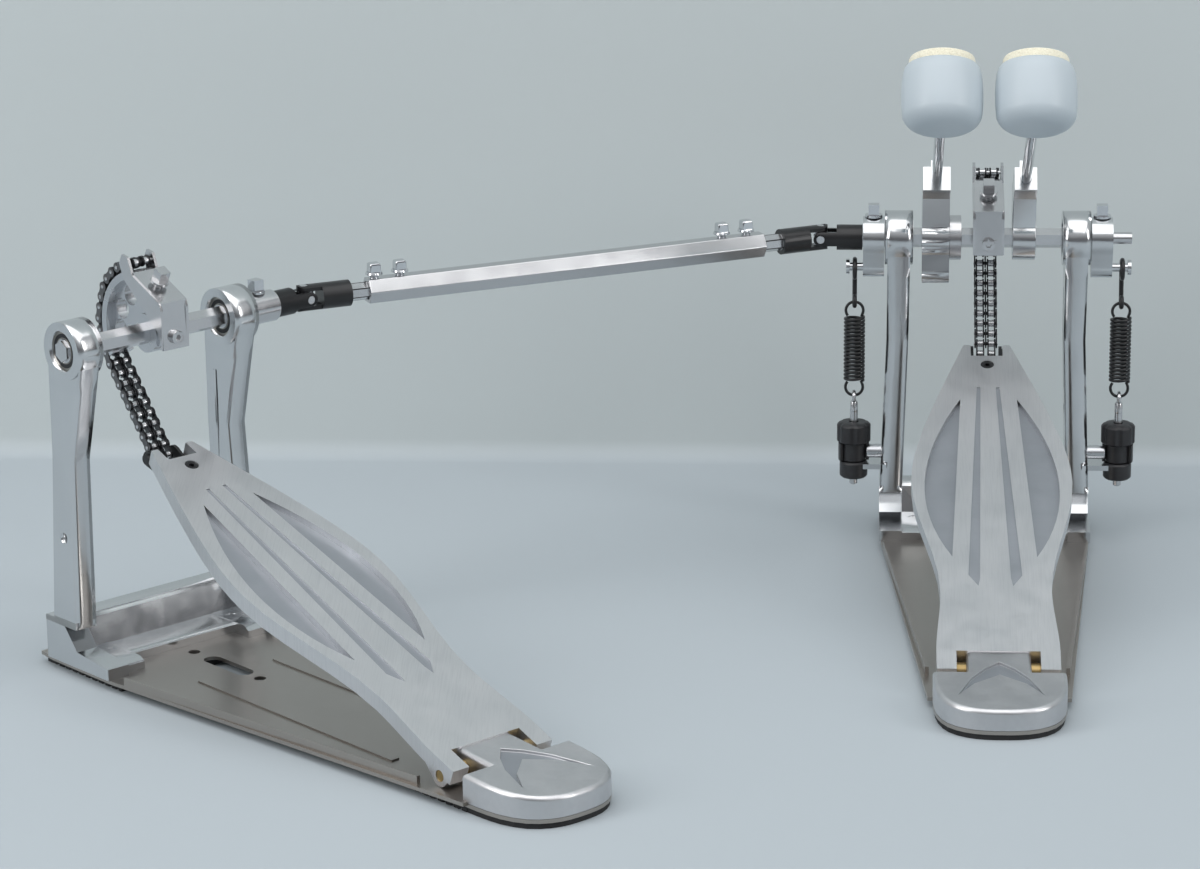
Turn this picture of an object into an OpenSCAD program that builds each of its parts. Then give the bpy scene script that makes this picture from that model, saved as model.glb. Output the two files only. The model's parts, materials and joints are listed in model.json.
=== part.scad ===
// Double bass drum pedal: a main pedal with two beaters and a slave pedal,
// joined by a drive shaft with two universal joints. Millimetres, +Z up,
// +Y towards the drum, origin on the floor below the middle of the main axle.

/* [Drive] */
// Height of the axles above the floor
axle_z = 178.5; // [176:0.5:181]
// Width across the flats of the hexagonal axles
hex_af = 10; // [9:0.5:10.5]
// Distance between the universal joint pivots
shaft_len = 314; // [300:1:340]
// Angle of the drive shaft to the main axle
shaft_yaw = 27.3; // [24:0.1:29]
// Angle of the slave pedal to the main pedal
slave_turn = 45.48; // [42:0.01:47]
// Universal joint pivot to the middle of the main pedal
main_pivot = 95.2; // [95:0.1:98]
// Universal joint pivot to the middle of the slave pedal
slave_pivot = 100.7; // [98:0.1:110]
// Diameter of the drive shaft tube
tube_d = 14.8; // [14:0.1:16]

/* [Chain] */
// Pitch of the duplex chain
pitch = 6.35; // [6.2:0.05:6.4]
// Spacing of the two strands of the chain
strand_gap = 6.4; // [6.3:0.05:6.6]
// Height of a link plate
plate_h = 5.4; // [5:0.1:5.6]
// Diameter of the chain pins
pin_d = 2; // [1.8:0.05:2.1]
// Radial clearance of a pin in its link
pin_gap = 0.15; // [0.12:0.01:0.2]
// Distance of the wheel centre in front of the axle
cam_off = 4; // [3:0.1:5]
// Width of the wheel rim
rim_w = 13.6; // [13.4:0.1:13.8]

/* [Beaters] */
// Diameter of the beater shafts
rod_d = 6; // [5.6:0.1:6.4]
// Lean of the beater shafts behind the vertical at rest
lean = 58; // [56:0.5:60]
// Distance of the beater shafts from the axle
rod_off = 23; // [22.5:0.1:24]
// Axle to the centre of a beater head, measured along its shaft
head_reach = 162; // [150:1:170]
// Diameter of a beater head
head_d = 44; // [40:0.5:46]
// Diameter of the felt face
felt_d = 35; // [30:0.5:37]

/* [Footboard] */
// Slope of the footboard at rest
board_tilt = 20.8; // [20.4:0.1:21]
// Distance of the heel hinge behind the axle
hinge_y = 268.5; // [266:0.5:272]
// Height of the heel hinge
hinge_z = 12; // [12:0.1:12.6]
// Top face of the footboard above the hinge axis
board_top = 8.4; // [8:0.1:9]
// Thickness of the footboard
board_t = 8.2; // [7.5:0.1:9]
// Hinge to the tips of the two horns at the toe
board_len = 277; // [275:0.5:277.5]

/* [Frame] */
// Half of the distance between the middles of the posts
post_x = 50.5; // [50:0.1:52]
// Width of a bearing head
post_head_w = 16; // [15:0.1:16.5]
// Radius of a bearing head
post_head_r = 15.5; // [14.5:0.1:16.5]
// Outer diameter of a bearing
bearing_d = 21.8; // [20:0.1:23]
// Outer half width of the cast feet
foot_x = 60.5; // [60:0.1:62]
// Thickness of the steel base plate
base_t = 2; // [1.6:0.1:2.2]
// Thickness of the rubber pads
rubber_t = 4; // [3.6:0.1:4.4]
// Half width of the base plate at the heel
base_heel_w = 37; // [35:0.5:40]

/* [Springs] */
// Distance of the left spring from the middle
spring_left = 75.5; // [75.2:0.1:75.8]
// Distance of the right spring from the middle
spring_right = 77; // [76.8:0.1:77.2]
// Distance of the spring studs from the axle
stud_r = 17.2; // [16.8:0.1:17.4]
// Outer diameter of the springs
coil_d = 12.6; // [12:0.1:13]
// Diameter of the spring wire
wire_d = 1.8; // [1.6:0.1:2]
// Number of turns in a spring
turns = 16; // [12:1:16]
// Diameter of the tension knobs
knob_d = 19.5; // [18:0.1:21]

/* [Hidden] */
$fn = 48;
fit = 0.04;
gap = 0.3;
hex_r = hex_af / 2 / cos(30);
base_z = rubber_t + base_t;

// Chain geometry
link_turn = 10;
chain_r = pitch / 2 / sin(link_turn / 2);
leave_a = -38.5;
n_upper = 3;
n_middle = 4;
n_strand = 9;
n_wrap = 5;
kink = 5;
wrap_a = leave_a + (n_upper + n_middle) * link_turn;
upper_a = wrap_a - n_upper * link_turn / 2 - 90;
middle_a = leave_a + n_middle * link_turn / 2 - 90;
strand_a = leave_a - 90;
function run(n, k) = n < 1 ? 0 : let (s = [for (i = [0:n - 1]) pitch * cos((i - (n - 1) / 2) * k)]) sum(s);
function sum(v, i = 0) = i < len(v) ? v[i] + sum(v, i + 1) : 0;
function dir2(a) = [cos(a), sin(a)];
wheel_c = [cam_off, axle_z];
joint_1 = wheel_c + chain_r * dir2(wrap_a);
joint_2 = joint_1 + run(n_upper, kink) * dir2(upper_a);
joint_3 = joint_2 + run(n_middle, kink) * dir2(middle_a);
chain_end = joint_3 + n_strand * pitch * dir2(strand_a);

// Placement helpers
module in_slave() {
    translate([-main_pivot - shaft_len * cos(shaft_yaw) - slave_pivot * cos(slave_turn),
        -shaft_len * sin(shaft_yaw) - slave_pivot * sin(slave_turn), 0])
        rotate([0, 0, slave_turn]) children();
}
module side_profile(x0, x1) {
    translate([x0, 0, 0]) rotate([90, 0, 90]) linear_extrude(x1 - x0) children();
}
module x_rod(r, x0, x1) {
    translate([x0, 0, 0]) rotate([0, 90, 0]) cylinder(r = r, h = x1 - x0);
}
module x_hex(r, x0, x1) {
    translate([x0, 0, 0]) rotate([0, 90, 0]) cylinder(r = r, h = x1 - x0, $fn = 6);
}
module at_axle() {
    translate([0, 0, axle_z]) children();
}
module both_sides() {
    children();
    mirror([1, 0, 0]) children();
}
module stadium(r0, r1, len) {
    circle(r = r0);
    translate([len, 0]) circle(r = r1);
    polygon([[0, -r0], [len, -r1], [len, r1], [0, r0]]);
}
// Key bolt with a square head, its flange seated at z = 0 and its shank below
head_sq = 6.2;
module key_bolt(shank, head_h = 6) {
    cylinder(r = 5, h = 1.4);
    translate([-head_sq / 2, -head_sq / 2, 1.4]) cube([head_sq, head_sq, head_h]);
    translate([0, 0, -shank]) cylinder(r = 2.4, h = shank + 0.1);
}

// Base plate and rubber
base_front = 33.5;
base_heel = 292;
base_w = foot_x - 1;
module base_outline(inset = 0) {
    polygon([
        [-base_w + 1.5 + inset, base_front - inset], [base_w - 1.5 - inset, base_front - inset],
        [base_w - inset, 20], [base_w - inset, -32],
        [base_heel_w - inset, -base_heel + inset], [-base_heel_w + inset, -base_heel + inset],
        [-base_w + inset, -32], [-base_w + inset, 20]
    ]);
}
flange_h = 5;
module side_flange() {
    hull() {
        translate([base_w - base_t, -44, base_z - 0.5]) cube([base_t - 0.9, 1, flange_h]);
        translate([base_heel_w - base_t + 0.8, -base_heel + 34, base_z - 0.5]) cube([base_t, 1, flange_h]);
    }
}
jaw_x0 = -14;
jaw_x1 = 36;
module steel_base(clamp) {
    difference() {
        union() {
            translate([0, 0, rubber_t]) linear_extrude(base_t) base_outline();
            if (clamp)
                translate([jaw_x0, base_front - 1, rubber_t]) cube([jaw_x1 - jaw_x0, 14, base_t]);
            both_sides() side_flange();
            both_sides() translate([22, -225, base_z - 0.2]) cube([5, 160, 1]);
        }
        for (y = [-25.3, -82.9]) translate([0, y, 0]) cylinder(r = 3.2, h = 3 * base_z);
        translate([-5, -69, 0]) cube([10, 27, 3 * base_z]);
        for (y = [-42, -69]) translate([0, y, 0]) cylinder(r = 5, h = 3 * base_z);
    }
}
module pads(clamp) {
    difference() {
        union() {
            translate([-base_w + 4, -36, 0]) cube([2 * base_w - 8, 36 + base_front - 2, rubber_t]);
            translate([-base_heel_w + 3, -base_heel + 1, 0]) cube([2 * base_heel_w - 6, 46, rubber_t]);
            if (clamp)
                translate([jaw_x0 + 1, base_front - 3, 0]) cube([jaw_x1 - jaw_x0 - 2, 15, rubber_t]);
        }
        for (i = [0:9]) translate([-base_w, -33 + i * 6, -1]) cube([2 * base_w, 2, 2]);
        for (i = [0:6]) translate([-base_w, -base_heel + 5 + i * 6, -1]) cube([2 * base_w, 2, 2]);
    }
}
module base_plate() {
    color("gray") steel_base(true);
}
module rubber_pads() {
    color("black") pads(true);
}

// Cast frame with two posts
foot_in = 47.4;
lug_z = 44.5;
module post() {
    difference() {
        union() {
            at_axle() x_rod(post_head_r, post_x - post_head_w / 2, post_x + post_head_w / 2);
            hull() {
                at_axle() x_rod(post_head_r - 1, post_x - 6.5, post_x + 6.5);
                translate([post_x - 6, -1, 118]) cube([12.5, 16, 1]);
            }
            hull() {
                translate([post_x - 6, -1, 118]) cube([12.5, 16, 1]);
                translate([foot_in, -4, 27]) cube([foot_x - foot_in, 20, 1]);
            }
            side_profile(foot_in, foot_x) polygon([
                [-31.8, base_z], [-31.8, 12.3], [-4, 15], [9, 30], [23.5, 30], [23.5, base_z]
            ]);
            side_profile(foot_in - 13, foot_in + 1) polygon([
                [-28, base_z], [-28, 10], [-24, 12.3], [8, 12.3], [8, base_z]
            ]);
        }
        at_axle() x_rod(bearing_d / 2, 0, 2 * post_x);
        translate([post_x - 8, 5, 40]) cube([3, 3, 108]);
        translate([foot_in - 7, -5, 0]) cylinder(r = 3.2, h = 40);
        translate([0, 5.7, 75.7]) x_rod(3, 0, 2 * post_x);
    }
}
module cross_bar() {
    side_profile(-foot_in - 1, foot_in + 1) polygon([
        [-15, base_z], [-15, 10.5], [-13, 12], [5, 12], [9, 28], [11, 30], [20, 30], [23.5, 26], [23.5, base_z]
    ]);
}
pivot_y = 29;
pivot_z = 20;
clamp_x = 26;
clamp_y = 12;
module jaw_ear(x0) {
    difference() {
        side_profile(x0, x0 + 4) union() {
            translate([pivot_y, pivot_z]) circle(r = 5);
            translate([22, 12]) square([7, 13]);
        }
        translate([0, pivot_y, pivot_z]) x_rod(2.5, x0 - 1, x0 + 5);
    }
}
module frame_casting() {
    both_sides() post();
    cross_bar();
}
module spring_lug(x) {
    s = sign(x);
    difference() {
        union() {
            translate([min(x, s * (foot_x - 4)), -6, 41.5]) cube([abs(x) - foot_x + 4, 14, 3]);
            translate([x, 0, 41.5]) cylinder(r = 7, h = 3);
        }
        translate([x, 0, 40]) cylinder(r = 2.6, h = 6);
    }
}
module post_frame() {
    color("silver") difference() {
        union() {
            frame_casting();
            spring_lug(-spring_left);
            spring_lug(spring_right);
            jaw_ear(jaw_x0 - 4.5);
            jaw_ear(jaw_x1 + 0.5);
            translate([clamp_x - 6, clamp_y - 6, 29]) cube([12, 12, 12]);
        }
        translate([clamp_x, clamp_y, 14]) cylinder(r = 2.5, h = 40);
    }
}
module slave_post_frame() {
    color("silver") in_slave() frame_casting();
}

// Bearings: outer ring, inner bore runs on the round journal of the axle
journal_r = 6.4;
module bearing(x) {
    at_axle() difference() {
        x_rod(bearing_d / 2, x - 6, x + 6);
        x_rod(journal_r + fit, x - 7, x + 7);
    }
}
module post_bearings() {
    color("dimgray") for (s = [-1, 1]) bearing(s * post_x);
}
module slave_bearings() {
    color("dimgray") in_slave() for (s = [-1, 1]) bearing(s * post_x);
}

// Heel plate and heel hinge
tongue_w = 16.7;
lug_in = 21.8;
lug_out = 32;
heel_front = 333.5;
heel_slope = 11.6;
heel_top = 17.5;
module heel_outline(inset = 0) {
    translate([0, -hinge_y]) polygon([
        [-tongue_w + inset, 6], [tongue_w - inset, 6], [tongue_w - inset, -13.5 - inset], [32, -13.5 - inset],
        [base_heel_w - inset, -18], [base_heel_w - inset, -38], [34.5 - inset, -53], [29, -61.5],
        [20, -65 + inset], [-20, -65 + inset], [-29, -61.5], [-34.5 + inset, -53],
        [-base_heel_w + inset, -38], [-base_heel_w + inset, -18], [-32, -13.5 - inset],
        [-tongue_w + inset, -13.5 - inset]
    ]);
}
module heel_casting() {
    difference() {
        union() {
            translate([0, 0, base_z]) linear_extrude(30) heel_outline();
            translate([0, -hinge_y - 44, rubber_t + base_t / 2]) cube([60, 41, base_t], center = true);
        }
        translate([0, -hinge_y, heel_top + 3.4]) rotate([heel_slope, 0, 0])
            translate([-50, -100, 0]) cube([100, 130, 40]);
        translate([0, -hinge_y, heel_top + 2]) rotate([heel_slope, 0, 0])
            linear_extrude(20) polygon([[0, -3], [21.8, -35], [13, -35], [0, -14.5], [-13, -35], [-21.8, -35]]);
        translate([0, -hinge_y, hinge_z]) x_rod(3 + fit, -50, 50);
        translate([-tongue_w - 1, -hinge_y + 2.4, hinge_z + 1.9]) cube([2 * tongue_w + 2, 10, 30]);
    }
}
module heel_plate() {
    color("silver") heel_casting();
}
module hinge_pins() {
    translate([0, -hinge_y, hinge_z]) both_sides() {
        x_rod(3, 8, lug_out - 0.6);
        difference() {
            x_rod(4.6, tongue_w + 0.1, lug_in - 0.1);
            x_rod(3.02, 0, 40);
        }
    }
}
module heel_hinge_pins() {
    color("goldenrod") hinge_pins();
}

// Hoop clamp
module clamp_bolt() {
    color("silver") translate([clamp_x, clamp_y, 0]) {
        translate([0, 0, 50]) key_bolt(30);
        difference() {
            translate([0, 0, 41.2]) cylinder(r = 5.6, h = 8.6);
            cylinder(r = 4.2, h = 60);
        }
    }
}
module hoop_clamp_jaw() {
    color("dimgray") {
        side_profile(jaw_x0, jaw_x1) difference() {
            union() {
                translate([pivot_y, pivot_z]) circle(r = 4.8);
                polygon([[pivot_y - 4, pivot_z + 2], [pivot_y + 1, pivot_z + 4.7], [44, 27], [46.5, 24],
                    [46, 15], [43, 14.4], [41, 20], [pivot_y + 3, pivot_z - 3.6]]);
            }
            translate([pivot_y, pivot_z]) circle(r = 2.3);
        }
        translate([0, pivot_y, pivot_z]) x_rod(2.29, jaw_x0 - 4.3, jaw_x1 + 4.3);
        translate([0, 43, 25.6]) x_rod(2.6, -2, 5);
    }
}

// Beaters, drawn with x along the shaft and y towards the drum
module along_shaft() {
    at_axle() rotate([90, 0, 90]) rotate([0, 0, 90 + lean]) mirror([0, 1, 0]) children();
}
hub_in = 10;
hub_out = 36.4;
hub_bolt_h = 7;
module hub_seat(xm) {
    translate([(hub_in + hub_out) / 2, rod_off + hub_bolt_h, xm]) rotate([-90, 0, 0]) children();
}
module beater_hub(x0, x1, lobe) {
    xm = (x0 + x1) / 2;
    difference() {
        union() {
            translate([0, 0, x0]) linear_extrude(x1 - x0) union() {
                circle(r = 12.6);
                polygon([[-8, 9.5], [hub_in - 6, rod_off + 7], [hub_out, rod_off + 7],
                    [hub_out, rod_off - 7], [24, rod_off - 8], [12.4, 2]]);
            }
            if (lobe)
                translate([0, 0, x0]) rotate([0, 0, -110]) linear_extrude(x1 - x0) stadium(9, 7, 19);
        }
        rotate([0, 0, lean]) cylinder(r = hex_r + fit, h = 200, center = true, $fn = 6);
        hub_seat(xm) cylinder(r = 2.5, h = 12, center = true);
        translate([hub_in - 20, rod_off, xm]) rotate([0, 90, 0]) cylinder(r = rod_d / 2 + fit, h = 80);
    }
}
module beater_rod(xm) {
    translate([hub_in - 3, rod_off, xm]) rotate([0, 90, 0])
        cylinder(r = rod_d / 2, h = head_reach - hub_in - 3);
}
cup_back = 19;
felt_seat = 12;
module beater_cup(xm) {
    r = head_d / 2;
    translate([head_reach, rod_off, xm]) rotate([-90, 0, 0]) difference() {
        rotate_extrude() polygon(concat(
            [[0, felt_seat - 6], [felt_d / 2 + 0.5, felt_seat - 6], [felt_d / 2 + 0.5, felt_seat],
                [r - 1, felt_seat], [r, felt_seat - 1]],
            [for (i = [0:10]) let (a = i * 9) [
                (r - 8) + 8 * cos(a), -cup_back + 10 - 10 * sin(a)]],
            [[0, -cup_back - 1.5]]));
        rotate([0, 90, 0]) translate([0, 0, -2 * r]) cylinder(r = rod_d / 2 + fit, h = 2 * r + 8);
    }
}
module beater_felt(xm) {
    translate([head_reach, rod_off, xm]) rotate([-90, 0, 0]) rotate_extrude() polygon([
        [0, felt_seat - 6], [felt_d / 2 + 0.4, felt_seat - 6], [felt_d / 2 + 0.4, felt_seat + 3],
        [felt_d / 2 - 1.2, felt_seat + 5.4], [felt_d / 2 - 5, felt_seat + 6.6], [0, felt_seat + 7.2]
    ]);
}
right_x0 = 14;
right_x1 = 27;
left_x0 = -37.4;
left_x1 = -21.9;
right_xm = (right_x0 + right_x1) / 2;
left_xm = (left_x0 + left_x1) / 2;
module right_beater_hub() {
    color("silver") along_shaft() beater_hub(right_x0, right_x1, false);
}
module right_beater_shaft() {
    color("lightgray") along_shaft() beater_rod(right_xm);
}
module right_beater_cup() {
    color("lightsteelblue") along_shaft() beater_cup(right_xm);
}
module right_beater_felt() {
    color("ivory") along_shaft() beater_felt(right_xm);
}
module left_beater_hub() {
    color("silver") along_shaft() beater_hub(left_x0, left_x1, true);
}
module left_beater_shaft() {
    color("lightgray") along_shaft() beater_rod(left_xm);
}
module left_beater_cup() {
    color("lightsteelblue") along_shaft() beater_cup(left_xm);
}
module left_beater_felt() {
    color("ivory") along_shaft() beater_felt(left_xm);
}

// Spring rockers on the ends of the axles
rocker_in = 58.9;
rocker_w = 12;
stud_d = 5;
module rocker(s, x_spring) {
    x0 = s > 0 ? rocker_in : -rocker_in - rocker_w;
    at_axle() {
        difference() {
            side_profile(x0, x0 + rocker_w) rotate([0, 0, -90]) stadium(12.1, 7, 16);
            x_hex(hex_r + fit, -200, 200);
            translate([x0 + rocker_w / 2, 0, 6]) cylinder(r = 2.5, h = 10);
        }
        translate([0, 0, -stud_r]) {
            x_rod(stud_d / 2, s > 0 ? rocker_in + 1 : -x_spring - 5, s > 0 ? x_spring + 5 : -rocker_in - 1);
            x_rod(4.4, s * (x_spring + 4) - 1, s * (x_spring + 4) + 1);
        }
    }
}
module left_spring_rocker() {
    color("dimgray") rocker(-1, spring_left);
}
module right_spring_rocker() {
    color("dimgray") rocker(1, spring_right);
}

// Axles
core_r = 3;
core_len = 18;
axle_split = -15.2;
journal_l = 6.2;
module journal(x) {
    x_rod(journal_r, x - journal_l, x + journal_l);
}
module right_axle() {
    color("silver") at_axle() {
        x_hex(hex_r, axle_split + 0.4, rocker_in + rocker_w);
        x_rod(3.4, rocker_in + rocker_w - 1, 82);
        x_rod(core_r, axle_split - core_len + 1, axle_split + 2);
        journal(post_x);
    }
}
module left_axle() {
    color("silver") at_axle() difference() {
        union() {
            x_hex(hex_r, -rocker_in - rocker_w - 8, axle_split);
            journal(-post_x);
            x_rod(12.8, left_x1 + 0.2, axle_split);
        }
        x_rod(core_r + fit, axle_split - core_len, axle_split + 1);
    }
}
cup_r = 7.3;
yoke_root = 9.2;
ear_w = 4;
ear_in = 4.2;
// Yoke of a universal joint with its pivot at the origin: the ears point along +X
module yoke(back, bore) {
    difference() {
        union() {
            x_rod(cup_r, -back, -yoke_root);
            intersection() {
                x_rod(cup_r, -yoke_root - 1, 6);
                for (s = [-1, 1]) translate([0, s * (ear_in + 5), 0]) union() {
                    rotate([90, 0, 0]) cylinder(r = ear_w, h = 10, center = true);
                    translate([-yoke_root - 1, -5, -ear_w]) cube([yoke_root + 1, 10, 2 * ear_w]);
                }
            }
        }
        rotate([90, 0, 0]) cylinder(r = 2.25 + 0.3, h = 40, center = true);
        if (bore > 0) x_hex(bore, -back - 1, -back + 10);
    }
}
module cross() {
    cube([7.6, 7.6, 7.6], center = true);
    rotate([90, 0, 0]) cylinder(r = 2.25, h = 14, center = true);
    cylinder(r = 2.25, h = 14, center = true);
}
module axle_yoke() {
    color("black") translate([-main_pivot, 0, axle_z]) mirror([1, 0, 0])
        yoke(main_pivot - rocker_in - rocker_w - 0.4, hex_r + fit);
}
module main_cross() {
    color("silver") translate([-main_pivot, 0, axle_z]) cross();
}
module slave_cross() {
    color("silver") in_slave() translate([slave_pivot, 0, axle_z]) cross();
}
// The drive shaft frame: x runs from the main pivot to the slave pivot
module on_shaft() {
    translate([-main_pivot, 0, axle_z]) rotate([0, 0, 180 + shaft_yaw]) children();
}
tube_in = 37.5;
tube_out = shaft_len - 277.5;
rod_in = 10;
module drive_yoke() {
    color("black") on_shaft() {
        mirror([1, 0, 0]) rotate([90, 0, 0]) yoke(26, 0);
        color("silver") x_hex(rod_in / 2, 25.9, tube_in + 40);
    }
}
module drive_tube() {
    color("silver") on_shaft() difference() {
        x_rod(tube_d / 2, tube_in, shaft_len - tube_out);
        x_hex(rod_in / 2 + 0.1, tube_in - 1, shaft_len);
    }
}
module shaft_key_bolts() {
    color("white") on_shaft() for (x = [47.5, 62.8, 258, 273])
        translate([x, 0, tube_d / 2 - 0.4]) rotate([0, 0, 45]) difference() {
            key_bolt(0.3, 5);
            rotate([0, 0, -45]) translate([0, 0, -tube_d / 2 + 0.4]) x_rod(tube_d / 2 + 0.01, -20, 20);
        }
}
module slave_shaft_yoke() {
    color("black") on_shaft() translate([shaft_len, 0, 0]) {
        rotate([90, 0, 0]) yoke(26, 0);
        color("silver") x_hex(rod_in / 2, -tube_out - 90, -25.9);
    }
}

// Chain wheel and its bracket
rim_out = chain_r - plate_h / 2 - 1.2;
rim_t = 4;
rim_a0 = -34;
rim_a1 = 84;
hub_r = 10.5;
module sector(r, a0, a1) {
    polygon(concat([[0, 0]], [for (i = [0:8]) let (a = a0 + (a1 - a0) * i / 8) r * 1.2 * dir2(a)]));
}
br_w = 8;
br_t = 1.6;
// Inner side of the bracket's folded plate, from the lower back edge to the front
br_fold = [[-18.3, -5.5], [-17.4, 18.4], [4.5, 29.8]];
module wheel() {
    translate([0, cam_off, axle_z]) side_profile(-rim_w / 2, rim_w / 2) difference() {
        intersection() {
            circle(r = rim_out);
            sector(rim_out, rim_a0, rim_a1);
        }
        circle(r = rim_out - rim_t);
    }
    difference() {
        union() {
            at_axle() side_profile(-rim_w / 2 + 1.5, rim_w / 2 - 1.5) circle(r = hub_r);
            translate([0, cam_off, axle_z]) side_profile(-3, 3) difference() {
                intersection() {
                    circle(r = rim_out - 1);
                    sector(rim_out, rim_a0, rim_a1);
                }
                for (a = [-8, 26, 60]) rotate([0, 0, a]) translate([20.5, 0]) circle(r = 5.6);
            }
            at_axle() side_profile(-4, 4) polygon([
                br_fold[0] + [1.6, 2], br_fold[1] + [1.2, -1], br_fold[2] + [-1, -1], [4, 0], [0, -8]
            ]);
        }
        at_axle() x_hex(hex_r + fit, -20, 20);
        bracket_bolts(0.15);
    }
}
module bracket_bolts(clear) {
    translate([0, -6.6, axle_z + 26.2]) rotate([27.7, 0, 0]) translate([0, 0, -6]) cylinder(r = 2.4 + clear, h = 8);
    translate([0, -13, axle_z + 1]) rotate([90, 0, 0]) cylinder(r = 1.8 + clear, h = 6);
}
module bracket() {
    difference() {
        union() {
            at_axle() side_profile(-br_w, br_w) polygon(concat(br_fold, [
                [4.5, 32.4], [-19.5, 19.8], [-20.5, -5.5]
            ]));
            for (s = [-1, 1]) at_axle() side_profile(s * br_w - br_t / 2, s * br_w + br_t / 2) polygon([
                [4.5, 31], [8, 40], [13, 41], [15.5, 36], [12.5, 28], [-17, 4], [-20, -5.5], [-20.5, 15], [-19, 20]
            ]);
        }
        at_axle() x_rod(hub_r + 0.6, -20, 20);
    }
    translate([0, -7.9, axle_z + 28.6]) rotate([27.7, 0, 0]) key_bolt(1);
    bracket_bolts(0);
    translate([0, -20, axle_z + 1]) rotate([90, 0, 0]) difference() {
        cylinder(r = 3.6, h = 2.6);
        translate([0, 0, 1]) cylinder(r = 1.7, h = 3, $fn = 6);
    }
    wrap_start = wheel_c + chain_r * dir2(wrap_a + n_wrap * link_turn);
    translate([0, wrap_start[0], wrap_start[1]]) x_rod(pin_d / 2, -br_w, br_w);
}
module chain_wheel() {
    color("gray") wheel();
}
module slave_chain_wheel() {
    color("gray") in_slave() wheel();
}
module chain_bracket() {
    color("lightgray") bracket();
}
module slave_chain_bracket() {
    color("lightgray") in_slave() bracket();
}

// Chain links: the first pin lies at the origin and the link runs along +Y of the side view
plate_t = 0.8;
roller_r = 2;
inner_x = 1.9;
outer_x = 6.1;
module link_plate(x, bore) {
    side_profile(x - plate_t / 2, x + plate_t / 2) difference() {
        union() {
            circle(r = plate_h / 2, $fn = 24);
            translate([pitch, 0]) circle(r = plate_h / 2, $fn = 24);
            translate([0, -plate_h * 0.36]) square([pitch, plate_h * 0.72]);
        }
        if (bore) for (y = [0, pitch]) translate([y, 0]) circle(r = pin_d / 2 + pin_gap, $fn = 24);
    }
}
module inner_link() {
    for (s = [-1, 1]) for (t = [-1, 1]) link_plate(s * strand_gap / 2 + t * inner_x, true);
    for (s = [-1, 1]) for (y = [0, pitch])
        side_profile(s * strand_gap / 2 - inner_x, s * strand_gap / 2 + inner_x) translate([y, 0]) difference() {
            circle(r = roller_r, $fn = 24);
            circle(r = pin_d / 2 + pin_gap, $fn = 24);
        }
}
module outer_link() {
    for (x = [-outer_x, 0, outer_x]) link_plate(x, false);
    for (y = [0, pitch]) translate([0, y, 0]) x_rod(pin_d / 2, -outer_x - 0.7, outer_x + 0.7);
}
// A run of n links that turns by k at each pin, the first link of the given kind
module links(n, k, first) {
    if (n > 0) {
        if (first) outer_link(); else inner_link();
        translate([0, pitch, 0]) rotate([-k, 0, 0]) links(n - 1, k, !first);
    }
}
module run_at(p, a, n, k, first) {
    translate([0, p[0], p[1]]) rotate([a + (n - 1) * k / 2, 0, 0]) links(n, k, first);
}
module wrap_run() {
    run_at(wheel_c + chain_r * dir2(wrap_a + n_wrap * link_turn), wrap_a + n_wrap * link_turn / 2 - 90,
        n_wrap, link_turn, false);
}
module upper_run() {
    run_at(joint_1, upper_a, n_upper, kink, true);
}
module middle_run() {
    run_at(joint_2, middle_a, n_middle, kink, false);
}
module strand_run() {
    run_at(joint_3, strand_a, n_strand, 0, false);
}
module chain_wrap() {
    color("black") wrap_run();
}
module chain_upper() {
    color("black") upper_run();
}
module chain_middle() {
    color("black") middle_run();
}
module chain_strand() {
    color("black") strand_run();
}
module slave_chain_wrap() {
    color("black") in_slave() wrap_run();
}
module slave_chain_upper() {
    color("black") in_slave() upper_run();
}
module slave_chain_middle() {
    color("black") in_slave() middle_run();
}
module slave_chain_strand() {
    color("black") in_slave() strand_run();
}

// Footboard, drawn with y along the board from the hinge axis and z square to it
module on_board() {
    translate([0, -hinge_y, hinge_z]) rotate([board_tilt, 0, 0]) children();
}
stations = [[-8, 32, 0], [5, 32.2, 0], [55, 29.4, 0], [150, 44, 0], [217, 31.6, -0.28], [277, 13.2, -0.31]];
function hermite(a, b, t) = let (h = b[0] - a[0], u = 1 - t)
    a[1] * u * u * (1 + 2 * t) + b[1] * t * t * (3 - 2 * t) + h * t * u * (a[2] * u - b[2] * t);
board_half = concat(
    [for (i = [0:4]) for (j = [0:5]) let (a = stations[i], b = stations[i + 1], t = j / 6)
        [hermite(a, b, t), (a[0] + (b[0] - a[0]) * t) * board_len / 277]],
    [[13.2, board_len]]
);
function flip(v) = [for (i = [len(v) - 1:-1:0]) [-v[i][0], v[i][1]]];
module board_outline() {
    polygon(concat(board_half, flip(board_half)));
}
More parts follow.
